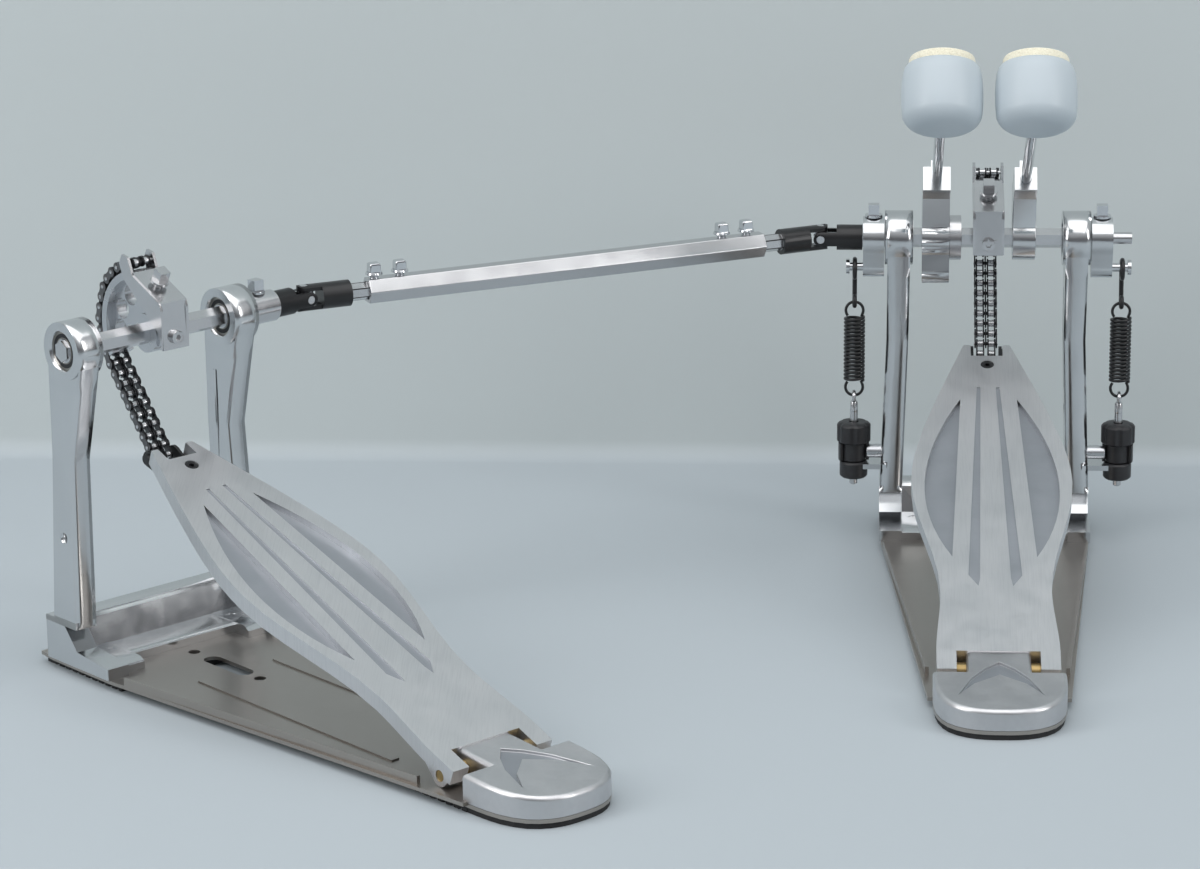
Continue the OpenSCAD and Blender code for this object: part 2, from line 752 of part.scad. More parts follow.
// Side pocket of the board: a straight inner edge and a bowed outer edge
function bow(t) = let (u = 1 - t, a = [15.9, 225], m = [54, 146], b = [22.6, 84.3])
    u * u * a + 2 * u * t * m + t * t * b;
module pocket_outline() {
    polygon([for (i = [0:16]) bow(i / 16)]);
}
horn_in = 9.1;
notch_s = 266.8;
heel_notch_s = 6.5;
pocket_depth = 3;
groove_depth = 0.8;
screw_s = 258.4;
module board() {
    bottom = board_top - board_t;
    on_board() difference() {
        union() {
            translate([0, 0, bottom]) linear_extrude(board_t) board_outline();
            both_sides() side_profile(lug_in, lug_out) union() {
                circle(r = 5.6);
                polygon([[-8, board_top - 3], [-5, board_top], [12, board_top], [12, 0.4], [4, -4], [-5.4, -1.5]]);
            }
        }
        translate([-horn_in, notch_s, -20]) cube([2 * horn_in, 40, 40]);
        translate([-lug_in, -20, -20]) cube([2 * lug_in, 20 + heel_notch_s, 40]);
        translate([lug_out + 0.1, -30, -20]) cube([20, 36, 40]);
        translate([-lug_out - 20.1, -30, -20]) cube([20, 36, 40]);
        both_sides() translate([0, 0, board_top - pocket_depth]) linear_extrude(20) pocket_outline();
        both_sides() translate([0, 0, board_top - groove_depth]) linear_extrude(20) polygon([
            [4.3, 236.6], [6.4, 236.6], [14.3, 68.8], [9.2, 59.8], [8.2, 66]
        ]);
        translate([-8, 70, -20]) cube([16, 120, 20 + bottom + 3]);
        translate([0, screw_s, board_top - 3]) cylinder(r = 3.8, h = 20);
        translate([0, screw_s, -20]) cylinder(r = 2.2, h = 40);
        x_rod(3 + fit, -60, 60);
    }
}
ear_x = 7.2;
ear_t = 1.8;
end_v = chain_end - [-hinge_y, hinge_z];
end_s = end_v[0] * cos(board_tilt) + end_v[1] * sin(board_tilt);
end_n = end_v[1] * cos(board_tilt) - end_v[0] * sin(board_tilt);
module clevis() {
    bottom = board_top - board_t;
    on_board() {
        both_sides() side_profile(ear_x, ear_x + ear_t) hull() {
            translate([end_s, end_n]) circle(r = 4.4, $fn = 32);
            translate([screw_s + 8, bottom - 5]) square([6, 4.9]);
        }
        both_sides() translate([0, end_s, end_n]) x_rod(2.9, ear_x + ear_t - 0.1, ear_x + ear_t + 1.6);
        difference() {
            translate([-ear_x - ear_t, screw_s - 8, bottom - 2.3]) cube([2 * (ear_x + ear_t), 24, 2.2]);
            translate([0, screw_s, -20]) cylinder(r = 2, h = 40);
        }
        translate([0, screw_s, board_top - 2.9]) difference() {
            cylinder(r = 3.7, h = 2.6);
            translate([0, 0, 1]) cylinder(r = 1.6, h = 3, $fn = 6);
        }
        translate([0, screw_s, bottom - 3.4]) cylinder(r = 2.1, h = board_t);
    }
}
module footboard() {
    color("silver") board();
}
module toe_clevis() {
    color("dimgray") clevis();
}
module slave_footboard() {
    color("silver") in_slave() board();
}
module slave_toe_clevis() {
    color("dimgray") in_slave() clevis();
}

// Springs, drawn as one unbroken wire from the lower eye to the upper hook
coil_z0 = 93;
coil_z1 = 132.5;
tip = 5;
coil_rings = 8;
eye_z = 84.5;
hook_ring_r = 5.4;
hook_wire = 1.2;
coil_mid = (coil_d - wire_d) / 2;
coil_gap = (coil_z1 - coil_z0) / turns - wire_d;
echo(spring_least_gap = coil_gap);
function coil_points() = concat(
    [[0, 0, coil_z0 - tip + 1.6], [0, 0, coil_z0 - tip + 1.6 + wire_d]],
    [for (i = [0:turns * coil_rings]) let (
        q = i / coil_rings, e = min(q, turns - q), r = coil_mid * min(1, 0.35 + e * 1.3), a = 360 * q)
        [r * cos(a), r * sin(a), coil_z0 + (coil_z1 - coil_z0) * q / turns]],
    [[0, 0, coil_z1 + tip - 1.6 - wire_d + 2], [0, 0, coil_z1 + tip + 0.4]]
);
function unit(v) = v / norm(v);
function tangent(p, i) = unit(p[min(i + 1, len(p) - 1)] - p[max(i - 1, 0)]);
function frame_side(t) = unit(cross(t, abs(t[2]) > 0.9 ? [1, 0, 0] : [0, 0, 1]));
module wire(p, r, n = 6) {
    pts = [for (i = [0:len(p) - 1]) let (t = tangent(p, i), q = i < 2 || i > len(p) - 3 ? [0, 0, 1] : t,
        a = unit(cross(q, [-p[i][1], p[i][0], 0.001] + [0.01, 0, 0])), b = cross(q, a))
        for (k = [0:n - 1]) p[i] + r * (cos(360 * k / n) * a + sin(360 * k / n) * b)];
    m = len(p);
    polyhedron(pts, concat(
        [for (i = [0:m - 2]) for (k = [0:n - 1]) let (c = (k + 1) % n) [i * n + k, i * n + c, (i + 1) * n + c]],
        [for (i = [0:m - 2]) for (k = [0:n - 1]) let (c = (k + 1) % n) [i * n + k, (i + 1) * n + c, (i + 1) * n + k]],
        [for (k = [1:n - 2]) [0, k + 1, k]],
        [for (k = [1:n - 2]) [(m - 1) * n, (m - 1) * n + k, (m - 1) * n + k + 1]]
    ));
}
module spring(x) {
    color("black") translate([x, 0, 0]) wire(coil_points(), wire_d / 2);
}
module spring_hook(x) {
    stud_top = axle_z - stud_r + stud_d / 2;
    ring_z = stud_top + gap - hook_ring_r + hook_wire;
    color("dimgray") translate([x, 0, 0]) {
        translate([0, 0, ring_z]) rotate([0, 90, 0]) rotate_extrude() translate([hook_ring_r, 0]) circle(r = hook_wire);
        translate([0, 0, coil_z1 + tip + 0.5])
            cylinder(r = hook_wire, h = ring_z - hook_ring_r - coil_z1 - tip - 0.5);
    }
}
module left_spring() {
    spring(-spring_left);
}
module right_spring() {
    spring(spring_right);
}
module left_spring_hook() {
    spring_hook(-spring_left);
}
module right_spring_hook() {
    spring_hook(spring_right);
}
bolt_r = 2.4;
module eye_bolt(x) {
    translate([x, 0, 0]) {
        translate([0, 0, 34]) cylinder(r = bolt_r, h = eye_z - 34 - 3);
        translate([0, 0, 34.5]) cylinder(r = 5, h = 7, $fn = 6);
        translate([0, 0, eye_z]) rotate([90, 0, 0]) rotate_extrude() translate([3.6, 0]) circle(r = 1.3);
    }
}
module spring_eye_bolts() {
    color("silver") {
        eye_bolt(-spring_left);
        eye_bolt(spring_right);
    }
}
module tension_knob(x) {
    color("black") translate([x, 0, lug_z]) difference() {
        union() {
            cylinder(r1 = 6.4, r2 = 7.4, h = 12.2);
            translate([0, 0, 12.1]) linear_extrude(12) polygon([for (i = [0:59])
                (knob_d / 2 - 0.5 + 0.5 * cos(i * 72)) * dir2(i * 6)]);
        }
        translate([0, 0, -1]) cylinder(r = bolt_r + 0.25, h = 40);
    }
}
module left_tension_knob() {
    tension_knob(-spring_left);
}
module right_tension_knob() {
    tension_knob(spring_right);
}

// Key bolts
rocker_top = 12.1;
module right_key_bolts() {
    color("white") {
        along_shaft() hub_seat(right_xm) key_bolt(3.4);
        translate([rocker_in + rocker_w / 2, 0, axle_z + rocker_top]) key_bolt(5.8);
    }
}
module left_key_bolts() {
    color("white") {
        along_shaft() hub_seat(left_xm) key_bolt(3.4);
        translate([-rocker_in - rocker_w / 2, 0, axle_z + rocker_top]) key_bolt(5.8);
    }
}

// Slave pedal
module slave_base_plate() {
    color("gray") in_slave() steel_base(false);
}
module slave_rubber_pads() {
    color("black") in_slave() pads(false);
}
module slave_heel_plate() {
    color("silver") in_slave() heel_casting();
}
module slave_hinge_pins() {
    color("goldenrod") in_slave() hinge_pins();
}
module slave_axle() {
    color("silver") in_slave() {
        at_axle() {
            x_hex(hex_r, -post_x - post_head_w / 2, slave_pivot - 20);
            journal(-post_x);
            journal(post_x);
            difference() {
                x_rod(8.6, post_x + post_head_w / 2 + 0.4, slave_pivot - 22);
                translate([post_x + 18, 0, 5.9]) cylinder(r = 2.5, h = 6);
            }
        }
        color("black") translate([slave_pivot, 0, axle_z]) yoke(22, 0);
    }
}
module slave_key_bolts() {
    color("white") in_slave() translate([post_x + 18, 0, axle_z + 8.6]) key_bolt(2.4);
}

base_plate();
rubber_pads();
post_frame();
post_bearings();
heel_plate();
heel_hinge_pins();
spring_eye_bolts();
clamp_bolt();
hoop_clamp_jaw();
right_axle();
chain_wheel();
chain_bracket();
chain_wrap();
right_beater_hub();
right_beater_shaft();
right_beater_cup();
right_beater_felt();
right_spring_rocker();
right_key_bolts();
footboard();
toe_clevis();
chain_upper();
chain_middle();
chain_strand();
left_axle();
left_beater_hub();
left_beater_shaft();
left_beater_cup();
left_beater_felt();
left_spring_rocker();
left_key_bolts();
axle_yoke();
main_cross();
drive_tube();
drive_yoke();
shaft_key_bolts();
slave_shaft_yoke();
slave_cross();
slave_base_plate();
slave_rubber_pads();
slave_post_frame();
slave_bearings();
slave_heel_plate();
slave_hinge_pins();
slave_axle();
slave_chain_wheel();
slave_chain_bracket();
slave_chain_wrap();
slave_key_bolts();
slave_footboard();
slave_toe_clevis();
slave_chain_upper();
slave_chain_middle();
slave_chain_strand();
left_spring();
left_spring_hook();
right_spring();
right_spring_hook();
left_tension_knob();
right_tension_knob();
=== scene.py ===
"""Looks of the double bass drum pedal: finishes, broken edges, round wire and cast forms."""

import json
import math

import bmesh
import bpy
from mathutils import Matrix, Vector


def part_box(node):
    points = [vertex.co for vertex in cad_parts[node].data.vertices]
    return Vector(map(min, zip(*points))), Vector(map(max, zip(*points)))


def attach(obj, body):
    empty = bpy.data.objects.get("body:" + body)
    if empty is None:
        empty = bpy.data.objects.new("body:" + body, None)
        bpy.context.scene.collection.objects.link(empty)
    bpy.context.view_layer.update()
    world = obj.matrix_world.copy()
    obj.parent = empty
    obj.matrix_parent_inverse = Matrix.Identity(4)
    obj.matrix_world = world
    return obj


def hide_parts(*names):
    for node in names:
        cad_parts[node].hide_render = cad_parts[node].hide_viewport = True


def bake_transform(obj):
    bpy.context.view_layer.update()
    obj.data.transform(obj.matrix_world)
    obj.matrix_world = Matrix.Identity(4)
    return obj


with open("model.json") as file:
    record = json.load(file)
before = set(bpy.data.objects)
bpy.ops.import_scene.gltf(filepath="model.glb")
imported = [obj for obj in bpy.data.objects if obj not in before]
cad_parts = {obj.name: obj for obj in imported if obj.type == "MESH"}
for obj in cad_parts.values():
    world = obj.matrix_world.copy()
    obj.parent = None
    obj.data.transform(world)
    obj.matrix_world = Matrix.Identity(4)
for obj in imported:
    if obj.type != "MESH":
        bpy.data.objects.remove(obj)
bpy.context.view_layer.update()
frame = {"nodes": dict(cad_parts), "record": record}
BODY_OF = {node: body for body, nodes in frame["record"]["behaviour"]["bodies"].items() for node in nodes}

# Lengths are in mm, and in metres for the stage and the lamps
MM = 0.001
DOUBLE_REACH = 0.001

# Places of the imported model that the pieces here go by
AXLE_Z = 178.5
HINGE_AT = Vector((0.0, -268.5, 12.0))
SLAVE_AT = Vector((-444.832, -215.816, 0.0))
SLAVE_TURN = math.radians(45.48)
PEDALS = (("", Vector((0.0, 0.0, 0.0)), 0.0), ("slave_", SLAVE_AT, SLAVE_TURN))
SHAFT_AT = Vector((-95.2, 0.0, AXLE_Z))
SHAFT_TURN = math.radians(27.3)
SHAFT_WAY = Vector((-math.cos(SHAFT_TURN), -math.sin(SHAFT_TURN), 0.0))

# Zones of a node that carry a second finish, as spans along a line or away from it; -1 takes in the middle
MASK_EDGE = 0.05
# The board's pocket floors and the heel's chevron floor take a darker finish: a matte cast finish, with
# painted shade of the recesses in its colour
BOARD_TILT = math.radians(20.8)
BOARD_TOP = 8.4
BOARD_FLOOR = (BOARD_TOP - 4.0, BOARD_TOP - 0.4)
FACING_UP = 0.8
ROLLER_X = (1.74, 4.66)
PIN_END_X = (6.53, 9.0)
BEARING_SEAL = (7.0, 9.2)
SLAVE_YOKE_X = (76.7, 200.0)
SLAVE_YOKE_R = (-1.0, 7.45)
ROD_X = (26.0, 288.0)
ROD_R = (-1.0, 4.8)

# Cast posts: their middle planes at two levels, half widths and the fall of their rounded sides
POST_SIDE = 60.5
POST_LEVELS = (27.0, 118.0)
POST_CENTRES = (53.95, 50.6)
POST_HALF = 6.4
POST_FADE = 4.0
POST_ROUNDING = 2.4
POST_CURVE = 4.0
HEAD_HALF = 8.0
HEAD_FROM_Z = 160.0
HEAD_FADE = 3.0

# Springs, hooks and eye bolts
SPRING_PIVOT_Z = 84.5
STUD_Z = 161.3
STUD_R = 2.5
STUD_GAP = 0.3
COIL_R = 5.4
COIL_WIRE = 0.85
COIL_TURNS = 17
COIL_STEPS = 28
COIL_Z = (93.6, 131.4)
LOOP_R = 5.0
LOOP_OPEN = 38.0
LOOP_RISE = 3.9
HOOK_WIRE = 1.35
HOOK_R = 5.3
HOOK_SWEEP = 290
HOOK_EYE_R = 2.8
HOOK_EYE_SWEEP = 315
BOLT_EYE_R = 2.8
BOLT_EYE_WIRE = 1.2
BOLT_TIP_Z = 31.0
BOLT_TIP_R = 1.7
BOLT_ROOT_R = 2.05
BOLT_CREST_R = 2.4
BOLT_LEAD = 0.8
BOLT_NECK = 5.5
BOLT_NECK_R = 2.3
BOLT_NECK_GAP = 0.6
BOLT_THROAT = (0.8, 1.6)
BOLT_SUNK = 0.5
WIRE_SLACK = 0.1

# Drive tube and its key bolts; a head's levels are (height, half diagonal, half width)
TUBE_X = (37.5, 277.5)
TUBE_SIDE = 7.7
TUBE_BORE = 5.3
BORE_DEPTH = 8.0
TUBE_BOLTS = (47.5, 62.8, 258.0, 273.0)
KEY_SUNK = 0.8
KEY_STEM = 2.0
KEY_THREADS = 3
KEY_LEAD = 0.75
KEY_ROOT_R = 2.3
KEY_CREST_R = 2.75
KEY_THREAD_Z = (-0.3, 0.1)
KEY_FLANGE = ((4.7, 0.0), (4.9, 0.3), (4.4, 1.4), (0.0, 1.4))
KEY_HEAD_LEVELS = ((1.3, 4.25, 3.1), (5.2, 4.0, 3.1), (6.0, 3.8, 3.0), (6.4, 3.3, 2.7))

# Heel plates: half outlines from the hinge line back, and the steps (drop, inset) of the rounded edge
HEEL_SLOPE = math.radians(4.0)
HEEL_TOP = 21.0
HEEL_BOTTOM = 5.0
HEEL_PIN_R = 3.1
HEEL_PIN_END = 60.0
HEEL_ROUNDING = ((2.6, 0.0), (1.5, 0.25), (0.75, 0.8), (0.2, 1.6), (0.0, 2.5))
HEEL_TONGUE = ((16.7, 6.0), (16.7, -20.0))
HEEL_CURVE = (
    (34.4, -20.0), (34.4, -30.0), (34.0, -38.0), (32.8, -46.0), (30.6, -53.0), (27.4, -59.0), (23.2, -63.4),
    (18.4, -66.6), (13.4, -68.6), (8.6, -69.6), (4.0, -70.0),
)
CHEVRON = ((0.0, -8.6), (7.6, -17.0), (14.8, -29.0), (21.8, -50.0), (13.5, -36.0), (0.0, -24.5))
CHEVRON_DEPTH = 1.6
CUTTER_RISE = 10.0
# Depths of the chevron's floor, which is painted darker as shade of the recess
CHEVRON_FLOOR = (-CHEVRON_DEPTH - 0.6, -0.7)
RUBBER_T = 3.0
RUBBER_INSET = 0.8

# Beaters: a head's place on its rod, and the turned profiles of cup and felt, with z towards the felt
HEAD_REACH = 162.0
HEAD_RISE = 1.5
ROD_OFF = 23.0
BEATER_TURN = math.radians(148.0)
BEATER_X = {"right": 20.5, "left": -29.65}
HEAD_SIDES = 72
CUP_RIM = (
    (0.0, 10.0), (17.9, 10.0), (17.9, 17.2), (18.3, 17.8), (19.2, 17.6), (20.2, 16.4), (21.1, 13.4),
    (21.7, 9.0), (22.0, 3.0), (21.9, -4.0),
)
CUP_SHOULDER = ((11.0, -8.4), (10.6, 9.4))
CUP_BACK = ((4.0, -18.3), (0.0, -18.5))
FELT_PROFILE = (
    (0.0, 11.0), (17.7, 11.0), (17.8, 21.4), (17.3, 22.4), (16.2, 22.9), (13.0, 23.2), (8.0, 23.4),
    (0.0, 23.5),
)

# Tension knobs: a grip's levels are (radius, z, scalloped)
KNOB_R = 9.75
KNOB_EDGE_R = KNOB_R - 1.2
KNOB_BORE_R = 2.7
WAIST_R = 6.6
KNOB_LEVELS = (
    (KNOB_BORE_R, 62.0, False), (KNOB_BORE_R, 46.0, False), (WAIST_R, 46.0, False), (WAIST_R, 56.6, False),
    (KNOB_EDGE_R, 56.7, False), (KNOB_R, 57.6, True), (KNOB_R, 67.0, True), (KNOB_EDGE_R, 68.3, True),
    (WAIST_R, 68.9, False), (KNOB_BORE_R, 68.9, False), (KNOB_BORE_R, 62.0, False),
)
KNOB_POINTS = 96
SCALLOPS = 6
SCALLOP_R = 3.5
SCALLOP_OFF = 2.8

# What holds the knobs: stubs on the posts, open black cases round the waists, lock discs below
STUB_Z = 51.0
STUB_R = 4.0
STUB_SUNK = 1.5
STUB_END = 7.4
CASE_SECTION = ((6.9, 45.8), (8.9, 45.8), (8.9, 56.2), (6.9, 56.2))
CASE_START = -32
CASE_SWEEP = 222
CASE_STEPS = 40
LOCK_DISC = ((2.5, 35.5), (6.9, 35.5), (8.1, 36.7), (8.1, 44.4), (7.2, 45.4), (2.5, 45.4))

# Camera, solved from the lines of both pedals
PHOTO_W = 1200
FOCAL_PX = 4047.86
SENSOR_MM = 36.0
CAMERA_AT = Vector((-77.9, -2259.6, 726.3)) * MM
YAW = -0.0642
PITCH = 0.2863
ROLL = -0.0117

# Stage and light
FLOOR_REACH = 4.0
FLOOR_ROUGHNESS = 0.8
WALL_Y = 0.150
WALL_BEND = 0.012
WALL_TOP = 3.0
FLOOR_COLOR = (0.41, 0.455, 0.485)
WALL_COLOR = (0.50, 0.545, 0.55)
SKY_COLOR = (0.86, 0.89, 0.92)
ROOM_COLOR = (0.22, 0.225, 0.24)
SKY_STRENGTH = 0.62
LAMP_TARGET = Vector((-0.2, -0.1, 0.1))
LAMPS = (
    ("top_lamp", (-0.3, -0.5, 1.8), (3.0, 2.4), 30.0),
    ("left_lamp", (-1.8, -1.2, 0.9), (0.8, 1.2), 13.0),
    ("right_lamp", (1.5, -1.0, 0.9), (0.5, 1.2), 9.0),
)

# Finishes of the real pieces, with linear colours
FINISHES = {
    "satin_steel": dict(
        color=(0.40, 0.37, 0.34), dark=(0.32, 0.295, 0.27), metallic=0.95, roughness=0.3, grain=0.0,
        drift=0.1, smudge=0.015,
    ),
    "cast_aluminium": dict(
        color=(0.60, 0.61, 0.63), dark=(0.44, 0.45, 0.47), metallic=1.0, roughness=0.26, grain=0.03,
        grain_x=140.0, grain_y=140.0, grain_z=140.0, drift=0.3, smudge=0.04,
    ),
    "board_aluminium": dict(
        color=(0.68, 0.68, 0.69), dark=(0.52, 0.52, 0.54), metallic=1.0, roughness=0.36, grain=0.35,
        grain_x=1500.0, grain_y=60.0, grain_z=60.0, drift=0.12, smudge=0.04,
    ),
    # Recess floors: a matte cast finish whose darker colour is partly painted shade of the recess
    "recess_matte_and_shade": dict(
        color=(0.36, 0.38, 0.41), dark=(0.30, 0.32, 0.345), metallic=0.9, roughness=0.5, grain=0.1, drift=0.3,
    ),
    "polished_cast": dict(
        color=(0.66, 0.67, 0.68), dark=(0.50, 0.51, 0.52), metallic=1.0, roughness=0.17, grain=0.0,
        drift=0.25, smudge=0.05,
    ),
    "satin_cast": dict(
        color=(0.62, 0.62, 0.63), dark=(0.48, 0.48, 0.50), metallic=1.0, roughness=0.38, grain=0.15,
        grain_x=300.0, grain_y=300.0, grain_z=300.0, drift=0.3,
    ),
    "bright_steel": dict(
        color=(0.62, 0.62, 0.63), dark=(0.46, 0.46, 0.47), metallic=1.0, roughness=0.22, grain=0.05,
        drift=0.25, smudge=0.04,
    ),
    "bearing_steel": dict(
        color=(0.42, 0.40, 0.37), dark=(0.24, 0.23, 0.21), metallic=1.0, roughness=0.32, grain=0.1, drift=0.4,
    ),
    "chrome": dict(
        color=(0.66, 0.67, 0.69), dark=(0.54, 0.55, 0.57), metallic=1.0, roughness=0.1, grain=0.02, drift=0.1,
    ),
    "black_steel": dict(
        color=(0.010, 0.010, 0.011), dark=(0.022, 0.022, 0.024), metallic=0.3, roughness=0.38, grain=0.1,
        drift=0.5, pits=0.15, coat=0.2,
    ),
    "chain_steel": dict(
        color=(0.035, 0.035, 0.038), dark=(0.012, 0.012, 0.013), metallic=0.8, roughness=0.34, grain=0.1,
        drift=0.6,
    ),
    "black_rubber": dict(
        color=(0.014, 0.014, 0.015), dark=(0.03, 0.03, 0.03), bump=0.0001, roughness=0.75, pits=0.4,
        drift=0.5,
    ),
    "brass": dict(
        color=(0.40, 0.29, 0.13), dark=(0.20, 0.14, 0.07), metallic=1.0, roughness=0.34, grain=0.2, drift=0.4,
    ),
    "cup_plastic": dict(
        color=(0.50, 0.56, 0.60), dark=(0.45, 0.51, 0.55), roughness=0.42, grain=0.02, drift=0.2, smudge=0.03,
    ),
    "felt": dict(
        color=(0.88, 0.84, 0.68), dark=(0.76, 0.70, 0.54), bump=0.0006, roughness=0.95, grain=0.8,
        grain_x=900.0, grain_y=900.0, grain_z=900.0, pits=0.6, drift=0.4, sheen=0.4, specular=0.1,
    ),
    "knob_plastic": dict(
        color=(0.016, 0.016, 0.018), dark=(0.03, 0.03, 0.032), roughness=0.42, pits=0.25, drift=0.4,
    ),
}
SHADER_INPUTS = {
    "metallic": "Metallic", "coat": "Coat Weight", "sheen": "Sheen Weight", "specular": "Specular IOR Level",
}
CLOUD_SCALE = 24.0
SMEAR_SCALE = 70.0
PIT_SCALE = 900.0
FINISH_START = {"metallic": 0.0, "coat": 0.0, "sheen": 0.0, "specular": 0.5, "bump": 0.00005}

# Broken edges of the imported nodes
EDGE_ANGLE = 38
EDGE_WELD = 0.002
EDGE_PLAIN = 0.3
EDGES = {
    "footboard": 0.8, "slave_footboard": 0.8, "post_frame": 1.0, "slave_post_frame": 1.0,
    "heel_plate": 1.2, "slave_heel_plate": 1.2, "hoop_clamp_jaw": 0.5,
    "axle_yoke": 0.6, "drive_yoke": 0.6, "slave_shaft_yoke": 0.6,
    "left_beater_hub": 1.0, "right_beater_hub": 1.0, "left_spring_rocker": 1.2, "right_spring_rocker": 1.2,
}
NO_EDGE = ("left_spring", "right_spring")


def linked(name, data):
    """A new object of the scene around the given data."""
    made = bpy.data.objects.new(name, data)
    bpy.context.collection.objects.link(made)
    return made


def add_camera():
    """The camera of the photograph, looking along the yaw and pitch given above."""
    forward = Vector((math.sin(YAW) * math.cos(PITCH), math.cos(YAW) * math.cos(PITCH), -math.sin(PITCH)))
    level = Vector((math.cos(YAW), -math.sin(YAW), 0.0))
    over = level.cross(forward)
    right = math.cos(ROLL) * level + math.sin(ROLL) * over
    up = -math.sin(ROLL) * level + math.cos(ROLL) * over
    data = bpy.data.cameras.new("camera")
    data.sensor_width = SENSOR_MM
    data.lens = FOCAL_PX * SENSOR_MM / PHOTO_W
    data.clip_end = 50.0
    camera = linked("camera", data)
    turn = Matrix((right, up, -forward)).transposed().to_4x4()
    camera.matrix_world = Matrix.Translation(CAMERA_AT) @ turn
    bpy.context.scene.camera = camera


class Graph:
    """A small helper that adds and joins shader nodes."""

    def __init__(self, tree):
        self.tree = tree

    def put(self, value, socket):
        """Joins an output to the socket, or sets the socket to a plain value."""
        if isinstance(value, bpy.types.NodeSocket):
            self.tree.links.new(value, socket)
        else:
            socket.default_value = value

    def add(self, kind, inputs=None, **settings):
        node = self.tree.nodes.new(kind)
        for key, value in settings.items():
            setattr(node, key, value)
        for key, value in (inputs or {}).items():
            self.put(value, node.inputs[key])
        return node

    def math(self, operation, a, b=0.0):
        return self.add("ShaderNodeMath", {0: a, 1: b}, operation=operation).outputs[0]

    def vector(self, operation, inputs, output=0):
        return self.add("ShaderNodeVectorMath", inputs, operation=operation).outputs[output]

    def noise(self, place, scale, detail):
        return self.add("ShaderNodeTexNoise", {"Vector": place, "Scale": scale, "Detail": detail}).outputs[0]

    def ramp(self, factor, low, high, bottom=0.0, top=1.0):
        inputs = {"Value": factor, "From Min": low, "From Max": high, "To Min": bottom, "To Max": top}
        return self.add("ShaderNodeMapRange", inputs).outputs[0]

    def blend(self, factor, a, b):
        return self.add("ShaderNodeMix", {0: factor, 2: a, 3: b}).outputs[0]

    def mix(self, factor, a, b):
        return self.add("ShaderNodeMix", {0: factor, 6: a, 7: b}, data_type="RGBA").outputs[2]

    def from_point(self, point):
        """The way in mm from a point of the model to the shaded place."""
        coords = self.add("ShaderNodeTexCoord").outputs["Object"]
        return self.vector("SUBTRACT", {0: self.vector("SCALE", {0: coords, 3: 1 / MM}), 1: point})


def new_group(name, inputs, outputs):
    """An empty shader group: inputs are (name, type, default), outputs are (name, type)."""
    tree = bpy.data.node_groups.new(name, "ShaderNodeTree")
    for label, kind, value in inputs:
        tree.interface.new_socket(label, in_out="INPUT", socket_type=kind).default_value = value
    for label, kind in outputs:
        tree.interface.new_socket(label, in_out="OUTPUT", socket_type=kind)
    g = Graph(tree)
    return g, g.add("NodeGroupInput").outputs, g.add("NodeGroupOutput").inputs


def finish_group():
    """Metal or plastic finish: a colour that drifts, fine grain along one way, smudges and small pits."""
    color = "NodeSocketColor"
    value = "NodeSocketFloat"
    g, given, out = new_group(
        "worn_finish",
        [
            ("Color", color, (0.5, 0.5, 0.5, 1.0)),
            ("Dark", color, (0.3, 0.3, 0.3, 1.0)),
            ("Drift", value, 0.2),
            ("Roughness", value, 0.35),
            ("Smudge", value, 0.08),
            ("Grain", value, 0.3),
            ("Grain X", value, 60.0),
            ("Grain Y", value, 900.0),
            ("Grain Z", value, 900.0),
            ("Pits", value, 0.0),
        ],
        [("Color", color), ("Roughness", value), ("Height", value)],
    )
    place = g.add("ShaderNodeTexCoord").outputs["Object"]
    ways = {i: given["Grain " + way] for i, way in enumerate("XYZ")}
    stretch = g.add("ShaderNodeCombineXYZ", ways).outputs[0]
    grain = g.noise(g.vector("MULTIPLY", {0: place, 1: stretch}), 1.0, 3.0)
    cloud = g.noise(place, CLOUD_SCALE, 5.0)
    smear = g.noise(place, SMEAR_SCALE, 4.0)
    pits = g.add("ShaderNodeTexVoronoi", {"Vector": place, "Scale": PIT_SCALE}).outputs["Distance"]
    drift = g.math("MULTIPLY", g.ramp(cloud, 0.35, 0.7), given["Drift"])
    streaks = g.math("MULTIPLY", g.ramp(grain, 0.35, 0.65, -0.5, 0.5), given["Grain"])
    tone = g.ramp(g.math("ADD", drift, streaks), 0.0, 1.0)
    smudge = g.math("MULTIPLY", g.ramp(smear, 0.3, 0.7, -1.0, 1.0), given["Smudge"])
    ridges = g.math("MULTIPLY", grain, given["Grain"])
    g.put(g.mix(tone, given["Color"], given["Dark"]), out["Color"])
    g.put(g.math("ADD", given["Roughness"], smudge), out["Roughness"])
    g.put(g.math("ADD", ridges, g.math("MULTIPLY", pits, given["Pits"])), out["Height"])
    return g.tree


WORN_FINISH = finish_group()


def local_mask(name, point, direction, along=None, radius=None, mirrored=False, facing=None):
    """A shader group that is 1 inside spans in mm along a line and away from it, on faces turned its way."""
    g, _, out = new_group(name, [], [("Mask", "NodeSocketFloat")])
    start = g.from_point(point)
    spans = []
    if along:
        distance = g.vector("DOT_PRODUCT", {0: start, 1: direction}, "Value")
        spans.append((g.math("ABSOLUTE", distance) if mirrored else distance, along))
    if radius:
        across = g.vector("CROSS_PRODUCT", {0: start, 1: direction})
        spans.append((g.vector("LENGTH", {0: across}, "Value"), radius))
    if facing:
        normal = g.add("ShaderNodeTexCoord").outputs["Normal"]
        spans.append((g.vector("DOT_PRODUCT", {0: normal, 1: direction}, "Value"), (facing, 2.0)))
    mask = 1.0
    for value, (low, high) in spans:
        above = g.ramp(value, low - MASK_EDGE, low + MASK_EDGE)
        below = g.ramp(value, high - MASK_EDGE, high + MASK_EDGE, 1.0, 0.0)
        mask = g.math("MULTIPLY", mask, g.math("MULTIPLY", above, below))
    g.put(mask, out["Mask"])
    return g.tree


